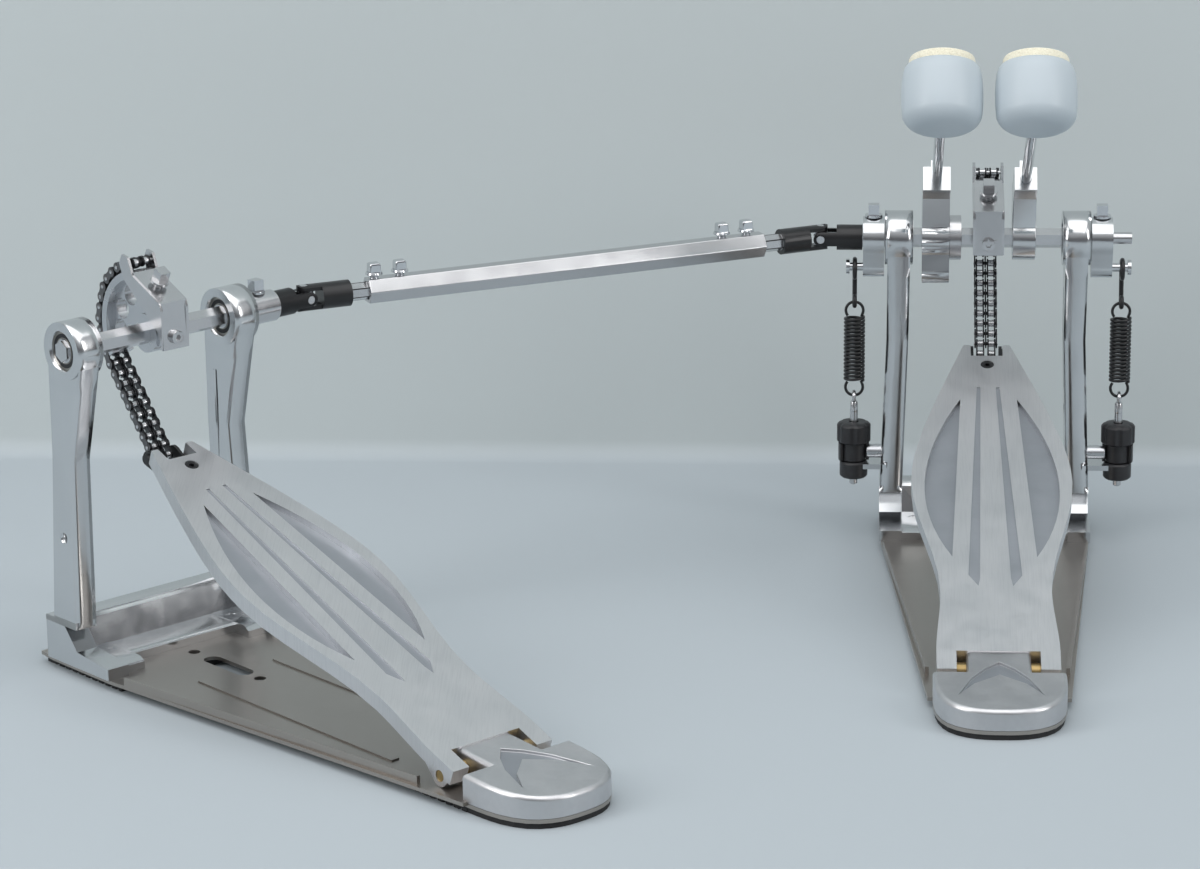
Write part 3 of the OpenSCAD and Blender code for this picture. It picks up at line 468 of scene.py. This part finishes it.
def post_relief(name, place, across):
    """A shader group whose height falls off at both sides of each post and head, as their cast forms do."""
    g, _, out = new_group(name, [], [("Height", "NodeSocketFloat")])
    start = g.from_point(place)
    side = g.vector("DOT_PRODUCT", {0: start, 1: across}, "Value")
    level = g.add("ShaderNodeSeparateXYZ", {0: start}).outputs[2]
    centre = g.ramp(level, *POST_LEVELS, *POST_CENTRES)
    half = g.ramp(level, HEAD_FROM_Z - HEAD_FADE, HEAD_FROM_Z + HEAD_FADE, POST_HALF, HEAD_HALF)
    share = g.math("DIVIDE", g.math("SUBTRACT", g.math("ABSOLUTE", side), centre), half)
    fall = g.math("POWER", g.math("MINIMUM", g.math("ABSOLUTE", share), 1.0), POST_CURVE)
    above = g.ramp(level, POST_LEVELS[0], POST_LEVELS[0] + POST_FADE)
    g.put(g.math("MULTIPLY", g.math("MULTIPLY", fall, above), -POST_ROUNDING * MM), out["Height"])
    return g.tree


def finish_layer(g, style):
    """One finish in a material: its group's outputs, its same-all-over numbers and its bump height."""
    values = {**FINISH_START, **FINISHES[style]}
    worn = g.add("ShaderNodeGroup", node_tree=WORN_FINISH)
    for key in ("color", "dark"):
        worn.inputs[key.title()].default_value = (*values.pop(key), 1.0)
    bump = values.pop("bump")
    plain = {key: values.pop(key) for key in SHADER_INPUTS}
    for key, value in values.items():
        worn.inputs[key.replace("_", " ").title()].default_value = value
    return worn.outputs, plain, bump


def material(name, finish, *marked, relief_tree=None):
    """A material of one finish; each (finish, mask) pair after it takes over where its mask is 1."""
    made = bpy.data.materials.new(name)
    made.use_nodes = True
    g = Graph(made.node_tree)
    shader = made.node_tree.nodes["Principled BSDF"].inputs
    worn, plain, bump = finish_layer(g, finish)
    color, roughness, height = worn["Color"], worn["Roughness"], worn["Height"]
    metal = plain["metallic"]
    for style, mask_tree in marked:
        over, extra, _ = finish_layer(g, style)
        mask = g.add("ShaderNodeGroup", node_tree=mask_tree).outputs["Mask"]
        color = g.mix(mask, color, over["Color"])
        roughness = g.blend(mask, roughness, over["Roughness"])
        height = g.blend(mask, height, over["Height"])
        metal = g.blend(mask, metal, extra["metallic"])
    relief = g.add("ShaderNodeBump", {"Height": height, "Distance": bump, "Strength": 1.0})
    if relief_tree:
        form = g.add("ShaderNodeGroup", node_tree=relief_tree).outputs["Height"]
        bend = g.add("ShaderNodeBump", {"Height": form, "Distance": 1.0, "Strength": 1.0})
        g.put(bend.outputs["Normal"], relief.inputs["Normal"])
    g.put(color, shader["Base Color"])
    g.put(roughness, shader["Roughness"])
    g.put(relief.outputs["Normal"], shader["Normal"])
    for key, label in SHADER_INPUTS.items():
        g.put(metal if key == "metallic" else plain[key], shader[label])
    return made


MATERIALS = {name: material(name, name) for name in FINISHES}


def turned(v, angle):
    """A direction of a pedal that stands turned about the upright line."""
    return Matrix.Rotation(angle, 3, "Z") @ Vector(v)


def pedal_materials(side, place, turn):
    """Materials of one pedal's pieces that carry two finishes, painted recess shade or a cast relief, by
    piece.
    """
    made = {}
    normal = turned((0.0, -math.sin(BOARD_TILT), math.cos(BOARD_TILT)), turn)
    hinge = place + turned(HINGE_AT, turn)
    # Pocket floors: matte cast finish, their darker colour partly painted shade of the pockets
    floor = local_mask(side + "pocket_floor_shade", hinge, normal, BOARD_FLOOR, facing=FACING_UP)
    made[side + "footboard"] = material(side + "board_and_shaded_pockets", "board_aluminium", ("recess_matte_and_shade", floor))
    slope = turned((0.0, -math.sin(HEEL_SLOPE), math.cos(HEEL_SLOPE)), turn)
    heel_top = place + turned((0.0, HINGE_AT.y, HEEL_TOP), turn)
    # Chevron floor: a matte finish, painted darker as shade of the recess
    chevron = local_mask(side + "chevron", heel_top, slope, CHEVRON_FLOOR, facing=FACING_UP)
    made[side + "heel_block"] = material(side + "heel_and_shaded_chevron", "satin_cast", ("recess_matte_and_shade", chevron))
    across = turned((1.0, 0.0, 0.0), turn)
    rollers = local_mask(side + "rollers", place, across, ROLLER_X, mirrored=True)
    ends = local_mask(side + "pin_ends", place, across, PIN_END_X, mirrored=True)
    bright = [("bright_steel", mask) for mask in (rollers, ends)]
    chain = material(side + "chain_two_tone", "chain_steel", *bright)
    for run in ("chain_wrap", "chain_upper", "chain_middle", "chain_strand"):
        made[side + run] = chain
    cast = post_relief(side + "post_relief", place, across)
    made[side + "post_frame"] = material(side + "post_cast", "polished_cast", relief_tree=cast)
    axle = place + Vector((0.0, 0.0, AXLE_Z))
    seal = local_mask(side + "bearing_seal", axle, across, radius=BEARING_SEAL)
    bearings = (side or "post_") + "bearings"
    made[bearings] = material(side + "bearing_two_tone", "bearing_steel", ("black_steel", seal))
    return made


def marked_materials():
    """Materials of the pieces whose finish differs from their slot's, by piece."""
    made = {}
    for pedal in PEDALS:
        made.update(pedal_materials(*pedal))
    slave_axle = SLAVE_AT + Vector((0.0, 0.0, AXLE_Z))
    along = turned((1.0, 0.0, 0.0), SLAVE_TURN)
    yoke = local_mask("axle_end_yoke", slave_axle, along, SLAVE_YOKE_X, SLAVE_YOKE_R)
    made["slave_axle"] = material("slave_axle_two_tone", "bright_steel", ("black_steel", yoke))
    rod = local_mask("telescopic_rods", SHAFT_AT, SHAFT_WAY, ROD_X, ROD_R)
    made["drive_yoke"] = material("shaft_two_tone", "black_steel", ("bright_steel", rod))
    made["slave_shaft_yoke"] = made["drive_yoke"]
    for node in ("chain_wheel", "slave_chain_wheel"):
        made[node] = MATERIALS["cast_aluminium"]
    for node in ("left_spring_rocker", "right_spring_rocker", "left_beater_hub", "right_beater_hub"):
        made[node] = MATERIALS["polished_cast"]
    return made


MARKED = marked_materials()


def dress_nodes():
    """Every CAD node gets its finish, and all but the springs get softly broken edges."""
    slots = {row["node"]: row["material_slot"] for row in frame["record"]["subparts"]}
    for name, node in frame["nodes"].items():
        made = MARKED.get(name, MATERIALS[slots[name]])
        if not node.material_slots:
            node.data.materials.append(made)
        for place in node.material_slots:
            place.link = "OBJECT"
            place.material = made
        if name in NO_EDGE:
            continue
        node.modifiers.new("weld", "WELD").merge_threshold = EDGE_WELD * MM
        edge = node.modifiers.new("edge", "BEVEL")
        edge.width = EDGES.get(name, EDGE_PLAIN) * MM
        edge.segments = 2
        edge.limit_method = "ANGLE"
        edge.angle_limit = math.radians(EDGE_ANGLE)
        edge.use_clamp_overlap = True
        node.modifiers.new("shade", "WEIGHTED_NORMAL").keep_sharp = False


def mesh_object(name, part, finish, smooth=True):
    """A mesh object from points in mm, with doubled points joined and its faces turned outward."""
    verts, faces = part
    mesh = bpy.data.meshes.new(name)
    mesh.from_pydata([Vector(v) * MM for v in verts], [], faces)
    work = bmesh.new()
    work.from_mesh(mesh)
    bmesh.ops.remove_doubles(work, verts=work.verts, dist=DOUBLE_REACH * MM)
    bmesh.ops.dissolve_degenerate(work, dist=DOUBLE_REACH * MM, edges=work.edges)
    bmesh.ops.recalc_face_normals(work, faces=work.faces)
    work.to_mesh(mesh)
    work.free()
    mesh.polygons.foreach_set("use_smooth", [smooth] * len(mesh.polygons))
    mesh.materials.append(MATERIALS[finish])
    made = linked(name, mesh)
    return made


def soften(made, width, angle=32, segments=3):
    """Softly broken edges on a piece."""
    edge = made.modifiers.new("edge", "BEVEL")
    edge.width = width * MM
    edge.segments = segments
    edge.limit_method = "ANGLE"
    edge.angle_limit = math.radians(angle)
    made.modifiers.new("shade", "WEIGHTED_NORMAL").keep_sharp = False


def cut_away(made, part):
    """Takes a closed part out of a piece and keeps the result."""
    cutter = mesh_object("cutter", part, "cast_aluminium", smooth=False)
    tool = made.modifiers.new("cut", "BOOLEAN")
    tool.object = cutter
    tool.solver = "EXACT"
    bpy.context.view_layer.update()
    graph = bpy.context.evaluated_depsgraph_get()
    result = bpy.data.meshes.new_from_object(made.evaluated_get(graph))
    made.modifiers.remove(tool)
    made.data = result
    bpy.data.objects.remove(cutter)


def sweep(path, radius, sides=10):
    """Verts and faces of a round wire along a path, with closed ends."""
    path = [Vector(p) for p in path]
    verts, faces = [], []
    side = None
    for i, here in enumerate(path):
        ahead = (path[min(i + 1, len(path) - 1)] - path[max(i - 1, 0)]).normalized()
        if side is None:
            side = ahead.orthogonal()
        side = (side - ahead * side.dot(ahead)).normalized()
        up = ahead.cross(side)
        for k in range(sides):
            a = 2 * math.pi * k / sides
            verts.append(here + radius * (math.cos(a) * side + math.sin(a) * up))
        if i:
            for k in range(sides):
                n = (k + 1) % sides
                faces.append(((i - 1) * sides + k, (i - 1) * sides + n, i * sides + n, i * sides + k))
    last = (len(path) - 1) * sides
    faces.append(tuple(range(sides))[::-1])
    faces.append(tuple(range(last, last + sides)))
    return verts, faces


def lathe(profile, place=(0.0, 0.0, 0.0), axis="Z", sides=40):
    """Verts and faces of a turned solid: the profile is a closed ring of (radius, height) points."""
    verts, faces = [], []
    count = len(profile)
    for k in range(sides):
        a = 2 * math.pi * k / sides
        for r, h in profile:
            x, y = r * math.cos(a), r * math.sin(a)
            verts.append(Vector((x, y, h) if axis == "Z" else (h, x, y)) + Vector(place))
    for k in range(sides):
        n = (k + 1) % sides
        for i in range(count):
            j = (i + 1) % count
            faces.append((k * count + i, n * count + i, n * count + j, k * count + j))
    return verts, faces


def bar(radius, start, end, place):
    """Verts and faces of a plain round bar along x."""
    return lathe([(0.0, start), (radius, start), (radius, end), (0.0, end)], place, "X")


def loft(rings, caps=True):
    """Verts and faces of a solid through rings of equal count."""
    count = len(rings[0])
    verts = [Vector(v) for ring in rings for v in ring]
    faces = []
    for low in range(len(rings) - 1):
        for i in range(count):
            j = (i + 1) % count
            a, b = low * count, (low + 1) * count
            faces.append((a + i, a + j, b + j, b + i))
    if caps:
        faces.append(tuple(range(count))[::-1])
        faces.append(tuple(range(len(verts) - count, len(verts))))
    return verts, faces


def join(*parts):
    """Verts and faces of several parts as one mesh."""
    verts, faces = [], []
    for more, rings in parts:
        faces += [tuple(i + len(verts) for i in face) for face in rings]
        verts += list(more)
    return verts, faces


def moved(matrix, part):
    """Verts and faces of a part after a move."""
    verts, faces = part
    flip = matrix.determinant() < 0
    return [matrix @ Vector(v) for v in verts], [face[::-1] for face in faces] if flip else faces


def arc(centre, radius, start, end, plane, steps=24):
    """Points on an arc in the XZ or the YZ plane, angles in degrees from the level axis."""
    points = []
    for i in range(steps + 1):
        a = math.radians(start + (end - start) * i / steps)
        level, up = radius * math.cos(a), radius * math.sin(a)
        offset = (level, 0.0, up) if plane == "XZ" else (0.0, level, up)
        points.append(Vector(centre) + Vector(offset))
    return points


def spring_x(side):
    """Where a spring and its knob stand along the axle."""
    low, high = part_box(side + "_spring")
    return (low[0] + high[0]) / 2 / MM


def spring_wire(x):
    """Close coil with an open loop at each end, the loops facing the player."""
    low, high = COIL_Z
    low_loop = (x, 0.0, SPRING_PIVOT_Z + LOOP_R)
    high_loop = (x, 0.0, high + LOOP_RISE)
    steps = COIL_TURNS * COIL_STEPS
    coil = []
    for i in range(steps + 1):
        a = 2 * math.pi * COIL_TURNS * i / steps
        coil.append(Vector((x + COIL_R * math.cos(a), COIL_R * math.sin(a), low + (high - low) * i / steps)))
    lower = arc(low_loop, LOOP_R, 180 - LOOP_OPEN, 360 + LOOP_OPEN, "XZ")
    upper = arc(high_loop, LOOP_R, -LOOP_OPEN, 180 + LOOP_OPEN, "XZ")
    return lower + coil + upper


def hook_wire(x):
    """Hook from the spring's upper loop to the rocker's stud, drawn square to the loop."""
    loop_top = COIL_Z[1] + LOOP_RISE + LOOP_R
    eye_z = loop_top - COIL_WIRE - WIRE_SLACK - HOOK_WIRE + HOOK_EYE_R
    ring_z = STUD_Z + STUD_R + STUD_GAP + HOOK_WIRE - HOOK_R
    lean = math.degrees(math.asin((HOOK_R - HOOK_EYE_R) / (ring_z - eye_z)))
    eye = arc((x, 0.0, eye_z), HOOK_EYE_R, -lean - HOOK_EYE_SWEEP, -lean, "YZ")
    ring = arc((x, 0.0, ring_z), HOOK_R, -lean, HOOK_SWEEP - lean, "YZ")
    return eye + ring


def eye_bolt(x):
    """Threaded bolt with an eye at its top that holds the spring's lower loop."""
    eye_z = SPRING_PIVOT_Z + COIL_WIRE + WIRE_SLACK + BOLT_EYE_WIRE - BOLT_EYE_R
    top = eye_z - BOLT_EYE_R
    thread_top = top - BOLT_NECK
    profile = [(0.0, BOLT_TIP_Z), (BOLT_TIP_R, BOLT_TIP_Z)]
    for i in range(int((thread_top - BOLT_TIP_Z) / BOLT_LEAD)):
        z = BOLT_TIP_Z + (i + 0.5) * BOLT_LEAD
        profile += [(BOLT_ROOT_R, z), (BOLT_CREST_R, z + BOLT_LEAD / 2)]
    throat, throat_r = BOLT_THROAT
    profile += [(BOLT_NECK_R, thread_top + BOLT_NECK_GAP), (BOLT_NECK_R, top - throat)]
    profile += [(throat_r, top + BOLT_SUNK), (0.0, top + BOLT_SUNK)]
    ring = arc((x, 0.0, eye_z), BOLT_EYE_R, -90, 270, "YZ", 30)
    return join(lathe(profile, (x, 0.0, 0.0), sides=24), sweep(ring, BOLT_EYE_WIRE))


def add_springs():
    """Springs, hooks and eye bolts with their round wire, in place of the plain solids."""
    bolts = []
    for side in ("left", "right"):
        x = spring_x(side)
        coil = mesh_object(side + "_spring_wire", sweep(spring_wire(x), COIL_WIRE), "black_steel")
        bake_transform(coil)
        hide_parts(side + "_spring")
        hook = mesh_object(side + "_hook_wire", sweep(hook_wire(x), HOOK_WIRE, 12), "black_steel")
        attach(hook, side + "_hook_body")
        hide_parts(side + "_spring_hook")
        bolts.append(eye_bolt(x))
    pair = mesh_object("eye_bolts", join(*bolts), "bright_steel")
    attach(pair, "root")
    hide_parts("spring_eye_bolts")


def key_bolt():
    """Square headed key bolt: threads above its seat at z = 0, a flange and a tapered head."""
    profile = [(0.0, -KEY_SUNK), (KEY_ROOT_R, -KEY_SUNK)]
    for i in range(KEY_THREADS):
        root_z, crest_z = (i * KEY_LEAD + z for z in KEY_THREAD_Z)
        profile += [(KEY_ROOT_R, root_z), (KEY_CREST_R, crest_z)]
    profile += [(r, KEY_STEM + z) for r, z in ((KEY_ROOT_R, 0.0), *KEY_FLANGE)]
    rings = []
    for z, corner, flat in KEY_HEAD_LEVELS:
        side = math.sqrt(corner**2 - flat**2)
        ring = []
        for k in range(4):
            turn = Matrix.Rotation(math.pi / 2 * k, 2)
            ring += [(*(turn @ Vector(point)), KEY_STEM + z) for point in ((flat, -side), (flat, side))]
        rings.append(ring)
    return join(lathe(profile, sides=24), loft(rings))


def add_drive_tube():
    """Hexagonal tube with a flat on top, its bore open at both ends, and its four key bolts."""
    shaft = Matrix.Translation(SHAFT_AT) @ Matrix.Rotation(math.pi + SHAFT_TURN, 4, "Z")
    start, end = TUBE_X
    levels = [(start + BORE_DEPTH, TUBE_BORE), (start, TUBE_BORE), (start, TUBE_SIDE)]
    levels += [(end, TUBE_SIDE), (end, TUBE_BORE), (end - BORE_DEPTH, TUBE_BORE)]
    corners = [(math.cos(math.pi / 3 * k), math.sin(math.pi / 3 * k)) for k in range(6)]
    sections = [[(x, side * c, side * s) for c, s in corners] for x, side in levels]
    tube = mesh_object("drive_tube_shell", moved(shaft, loft(sections)), "bright_steel", smooth=False)
    soften(tube, 0.5)
    top = TUBE_SIDE * math.cos(math.pi / 6)
    bolts = [moved(shaft @ Matrix.Translation((x, 0.0, top)), key_bolt()) for x in TUBE_BOLTS]
    heads = mesh_object("drive_tube_bolts", join(*bolts), "chrome", smooth=False)
    soften(heads, 0.25)
    return (tube, "drive_tube"), (heads, "shaft_key_bolts")


def mirrored_outline(points):
    """An outline that is the same left and right of x = 0, anticlockwise."""
    right = [Vector(p) for p in points]
    whole = right + [Vector((-p.x, p.y)) for p in reversed(right) if abs(p.x) > 0.01]
    area = sum(a.x * b.y - b.x * a.y for a, b in zip(whole, whole[1:] + whole[:1]))
    return whole if area > 0 else whole[::-1]


def inset(outline, by):
    """A closed outline, drawn anticlockwise, moved inward."""
    points = []
    for i, here in enumerate(outline):
        back = (here - outline[i - 1]).normalized()
        ahead = (outline[(i + 1) % len(outline)] - here).normalized()
        inward = Vector((-ahead.y, ahead.x))
        lean = (Vector((-back.y, back.x)) + inward).normalized()
        points.append(here + lean * by / max(0.5, lean.dot(inward)))
    return points


def flat_slab(outline, low, high):
    """Verts and faces of a level plate with the given outline."""
    return loft([[(p.x, p.y, z) for p in outline] for z in (low, high)])


def heel_level(outline, drop):
    """The outline lifted to the sloping top of the heel plate."""
    return [(p.x, p.y, HEEL_TOP + p.y * math.tan(HEEL_SLOPE) - drop) for p in outline]


def heel_pieces(side, place, turn):
    """Cast heel plate with a rounded top edge and a recessed chevron, and the base's end and pad under it."""
    pedal = Matrix.Translation(place) @ Matrix.Rotation(turn, 4, "Z")
    at = pedal @ Matrix.Translation((0.0, HINGE_AT.y, 0.0))
    outline = mirrored_outline(HEEL_TONGUE + HEEL_CURVE)
    rings = [[(p.x, p.y, HEEL_BOTTOM) for p in outline]]
    rings += [heel_level(inset(outline, by), drop) for drop, by in HEEL_ROUNDING]
    block = mesh_object(side + "heel_block", moved(at, loft(rings)), "cast_aluminium", smooth=False)
    arrow = mirrored_outline(CHEVRON)
    cut_away(block, moved(at, loft([heel_level(arrow, CHEVRON_DEPTH), heel_level(arrow, -CUTTER_RISE)])))
    cut_away(block, moved(at, bar(HEEL_PIN_R, -HEEL_PIN_END, HEEL_PIN_END, (0.0, 0.0, HINGE_AT.z))))
    # The heel's material paints the chevron floor darker, as shade of the recess
    block.data.materials[0] = MARKED[side + "heel_block"]
    soften(block, 0.35)
    end_line = mirrored_outline(HEEL_CURVE)
    foot = moved(at, flat_slab(end_line, RUBBER_T, HEEL_BOTTOM))
    pad = moved(at, flat_slab(inset(end_line, RUBBER_INSET), 0.0, RUBBER_T))
    return (
        block,
        mesh_object(side + "heel_foot", foot, "satin_steel", smooth=False),
        mesh_object(side + "heel_pad", pad, "black_rubber", smooth=False),
    )


def beater_frame(side):
    """The frame of a beater head: z runs along the head towards the felt."""
    order = Matrix(((0, 0, 1, 0), (1, 0, 0, 0), (0, 1, 0, 0), (0, 0, 0, 1)))
    shaft = Matrix.Translation((0.0, 0.0, AXLE_Z)) @ order @ Matrix.Rotation(BEATER_TURN, 4, "Z")
    shaft = shaft @ Matrix.Diagonal((1.0, -1.0, 1.0, 1.0))
    head = Matrix.Translation((HEAD_REACH, ROD_OFF + HEAD_RISE, BEATER_X[side]))
    return shaft @ head @ Matrix.Rotation(-math.pi / 2, 4, "X")


def cup_profile():
    """The cup from its rim round the shoulder to its back, as a turned profile."""
    (centre_r, centre_z), (reach_r, reach_z) = CUP_SHOULDER
    turns = [math.radians(9 * i) for i in range(1, 11)]
    shoulder = [(centre_r + reach_r * math.cos(a), centre_z - reach_z * math.sin(a)) for a in turns]
    return [*CUP_RIM, *shoulder, *CUP_BACK][::-1]


def add_beaters():
    """Plastic cups and the felts they hold, as turned shapes."""
    made = []
    for side in ("left", "right"):
        at = beater_frame(side)
        shell = moved(at, lathe(cup_profile(), sides=HEAD_SIDES))
        disc = moved(at, lathe(FELT_PROFILE, sides=HEAD_SIDES))
        cup = mesh_object(side + "_cup_shell", shell, "cup_plastic")
        felt = mesh_object(side + "_felt_disc", disc, "felt")
        made += [(cup, side + "_beater_cup"), (felt, side + "_beater_felt")]
    return made


def knob_ring(radius, z, scalloped):
    """One level of a knob: a circle, with six scallops bitten out of its rim where it has them."""
    ring = []
    share = 2 * math.pi / SCALLOPS
    far = radius + SCALLOP_OFF
    for k in range(KNOB_POINTS):
        a = 2 * math.pi * k / KNOB_POINTS
        off = abs(a % share - share / 2)
        cut = SCALLOP_R**2 - (far * math.sin(off)) ** 2
        r = min(radius, far * math.cos(off) - math.sqrt(cut)) if cut > 0 and scalloped else radius
        ring.append((r * math.cos(a), r * math.sin(a), z))
    return ring


def knob_case(x, sign):
    """Open black case round a knob's waist: most of a ring with a square section."""
    sections = []
    for k in range(CASE_STEPS + 1):
        a = math.radians(CASE_START + CASE_SWEEP * k / CASE_STEPS)
        level = Vector((sign * math.cos(a), math.sin(a), 0.0))
        sections.append([Vector((x, 0.0, z)) + level * r for r, z in CASE_SECTION])
    return loft(sections if sign > 0 else [ring[::-1] for ring in sections])


def add_knobs():
    """Scalloped tension knobs on a waist, the stubs and cases that hold them, and the lock discs below."""
    made = []
    stubs, holders = [], []
    for side, sign in (("left", -1), ("right", 1)):
        x = spring_x(side)
        grip = loft([knob_ring(*level) for level in KNOB_LEVELS], caps=False)
        knob = mesh_object(
            side + "_knob_grip", moved(Matrix.Translation((x, 0.0, 0.0)), grip), "knob_plastic", smooth=False
        )
        soften(knob, 0.3, 40, 2)
        made.append((knob, side + "_tension_knob"))
        ends = sorted((sign * (POST_SIDE - STUB_SUNK), x - sign * STUB_END))
        stubs.append(bar(STUB_R, *ends, (0.0, 0.0, STUB_Z)))
        holders += [knob_case(x, sign), lathe(LOCK_DISC, (x, 0.0, 0.0))]
    for name, parts, finish, width in (
        ("spring_lugs", stubs, "cast_aluminium", 0.4),
        ("lock_discs", holders, "knob_plastic", 0.3),
    ):
        held = mesh_object(name, join(*parts), finish, smooth=False)
        soften(held, width)
        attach(held, "root")
    return made


def add_shapes():
    """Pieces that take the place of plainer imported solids, each on the same body."""
    pairs = [*add_drive_tube(), *add_beaters(), *add_knobs()]
    for side, place, turn in PEDALS:
        block, *under = heel_pieces(side, place, turn)
        pairs.append((block, side + "heel_plate"))
        for extra in under:
            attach(extra, BODY_OF[side + "heel_plate"])
    for made, node in pairs:
        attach(made, BODY_OF[node])
        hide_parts(node)


def add_stage():
    """A pale floor that turns up into a grey wall behind the pedal, seen from its front side only."""
    rows = [(-FLOOR_REACH, 0.0), (WALL_Y - WALL_BEND, 0.0)]
    for step in range(1, 7):
        a = math.radians(15 * step)
        rows.append((WALL_Y - WALL_BEND + WALL_BEND * math.sin(a), WALL_BEND * (1 - math.cos(a))))
    rows.append((WALL_Y, WALL_TOP))
    mesh = bpy.data.meshes.new("backdrop")
    work = bmesh.new()
    edges = [[work.verts.new((x, y, z)) for x in (-FLOOR_REACH, FLOOR_REACH)] for y, z in rows]
    for low, high in zip(edges, edges[1:]):
        work.faces.new((low[0], low[1], high[1], high[0])).smooth = True
    work.to_mesh(mesh)
    work.free()
    backdrop = linked("backdrop", mesh)
    paint = bpy.data.materials.new("backdrop_paint")
    paint.use_nodes = True
    g = Graph(paint.node_tree)
    shader = paint.node_tree.nodes["Principled BSDF"]
    geometry = g.add("ShaderNodeNewGeometry").outputs
    height = g.add("ShaderNodeSeparateXYZ", {0: geometry["Position"]}).outputs[2]
    tone = g.mix(g.ramp(height, 0.0, WALL_BEND), (*FLOOR_COLOR, 1.0), (*WALL_COLOR, 1.0))
    g.put(tone, shader.inputs["Base Color"])
    g.put(FLOOR_ROUGHNESS, shader.inputs["Roughness"])
    clear = g.add("ShaderNodeBsdfTransparent").outputs[0]
    sides = {0: geometry["Backfacing"], 1: shader.outputs[0], 2: clear}
    one_sided = g.add("ShaderNodeMixShader", sides).outputs[0]
    g.put(one_sided, paint.node_tree.nodes["Material Output"].inputs["Surface"])
    backdrop.data.materials.append(paint)


def add_world():
    """A pale sky that falls off to a darker room at eye level, so that polished metal has contrast."""
    world = bpy.context.scene.world or bpy.data.worlds.new("world")
    bpy.context.scene.world = world
    world.use_nodes = True
    g = Graph(world.node_tree)
    way = g.add("ShaderNodeSeparateXYZ", {0: g.add("ShaderNodeTexCoord").outputs["Generated"]})
    sky = g.mix(g.ramp(way.outputs[2], 0.12, 0.55), (*ROOM_COLOR, 1.0), (*SKY_COLOR, 1.0))
    background = world.node_tree.nodes["Background"]
    g.put(sky, background.inputs["Color"])
    g.put(SKY_STRENGTH, background.inputs["Strength"])


def add_light():
    """Soft studio light: a large lamp above and one at each side."""
    for name, place, size, power in LAMPS:
        data = bpy.data.lights.new(name, "AREA")
        data.shape = "RECTANGLE"
        data.size, data.size_y = size
        data.energy = power
        lamp = linked(name, data)
        lamp.location = place
        lamp.rotation_euler = (LAMP_TARGET - Vector(place)).to_track_quat("-Z", "Y").to_euler()


add_camera()
dress_nodes()
add_springs()
add_shapes()
add_stage()
add_world()
add_light()
bpy.context.scene.view_settings.view_transform = "Standard"
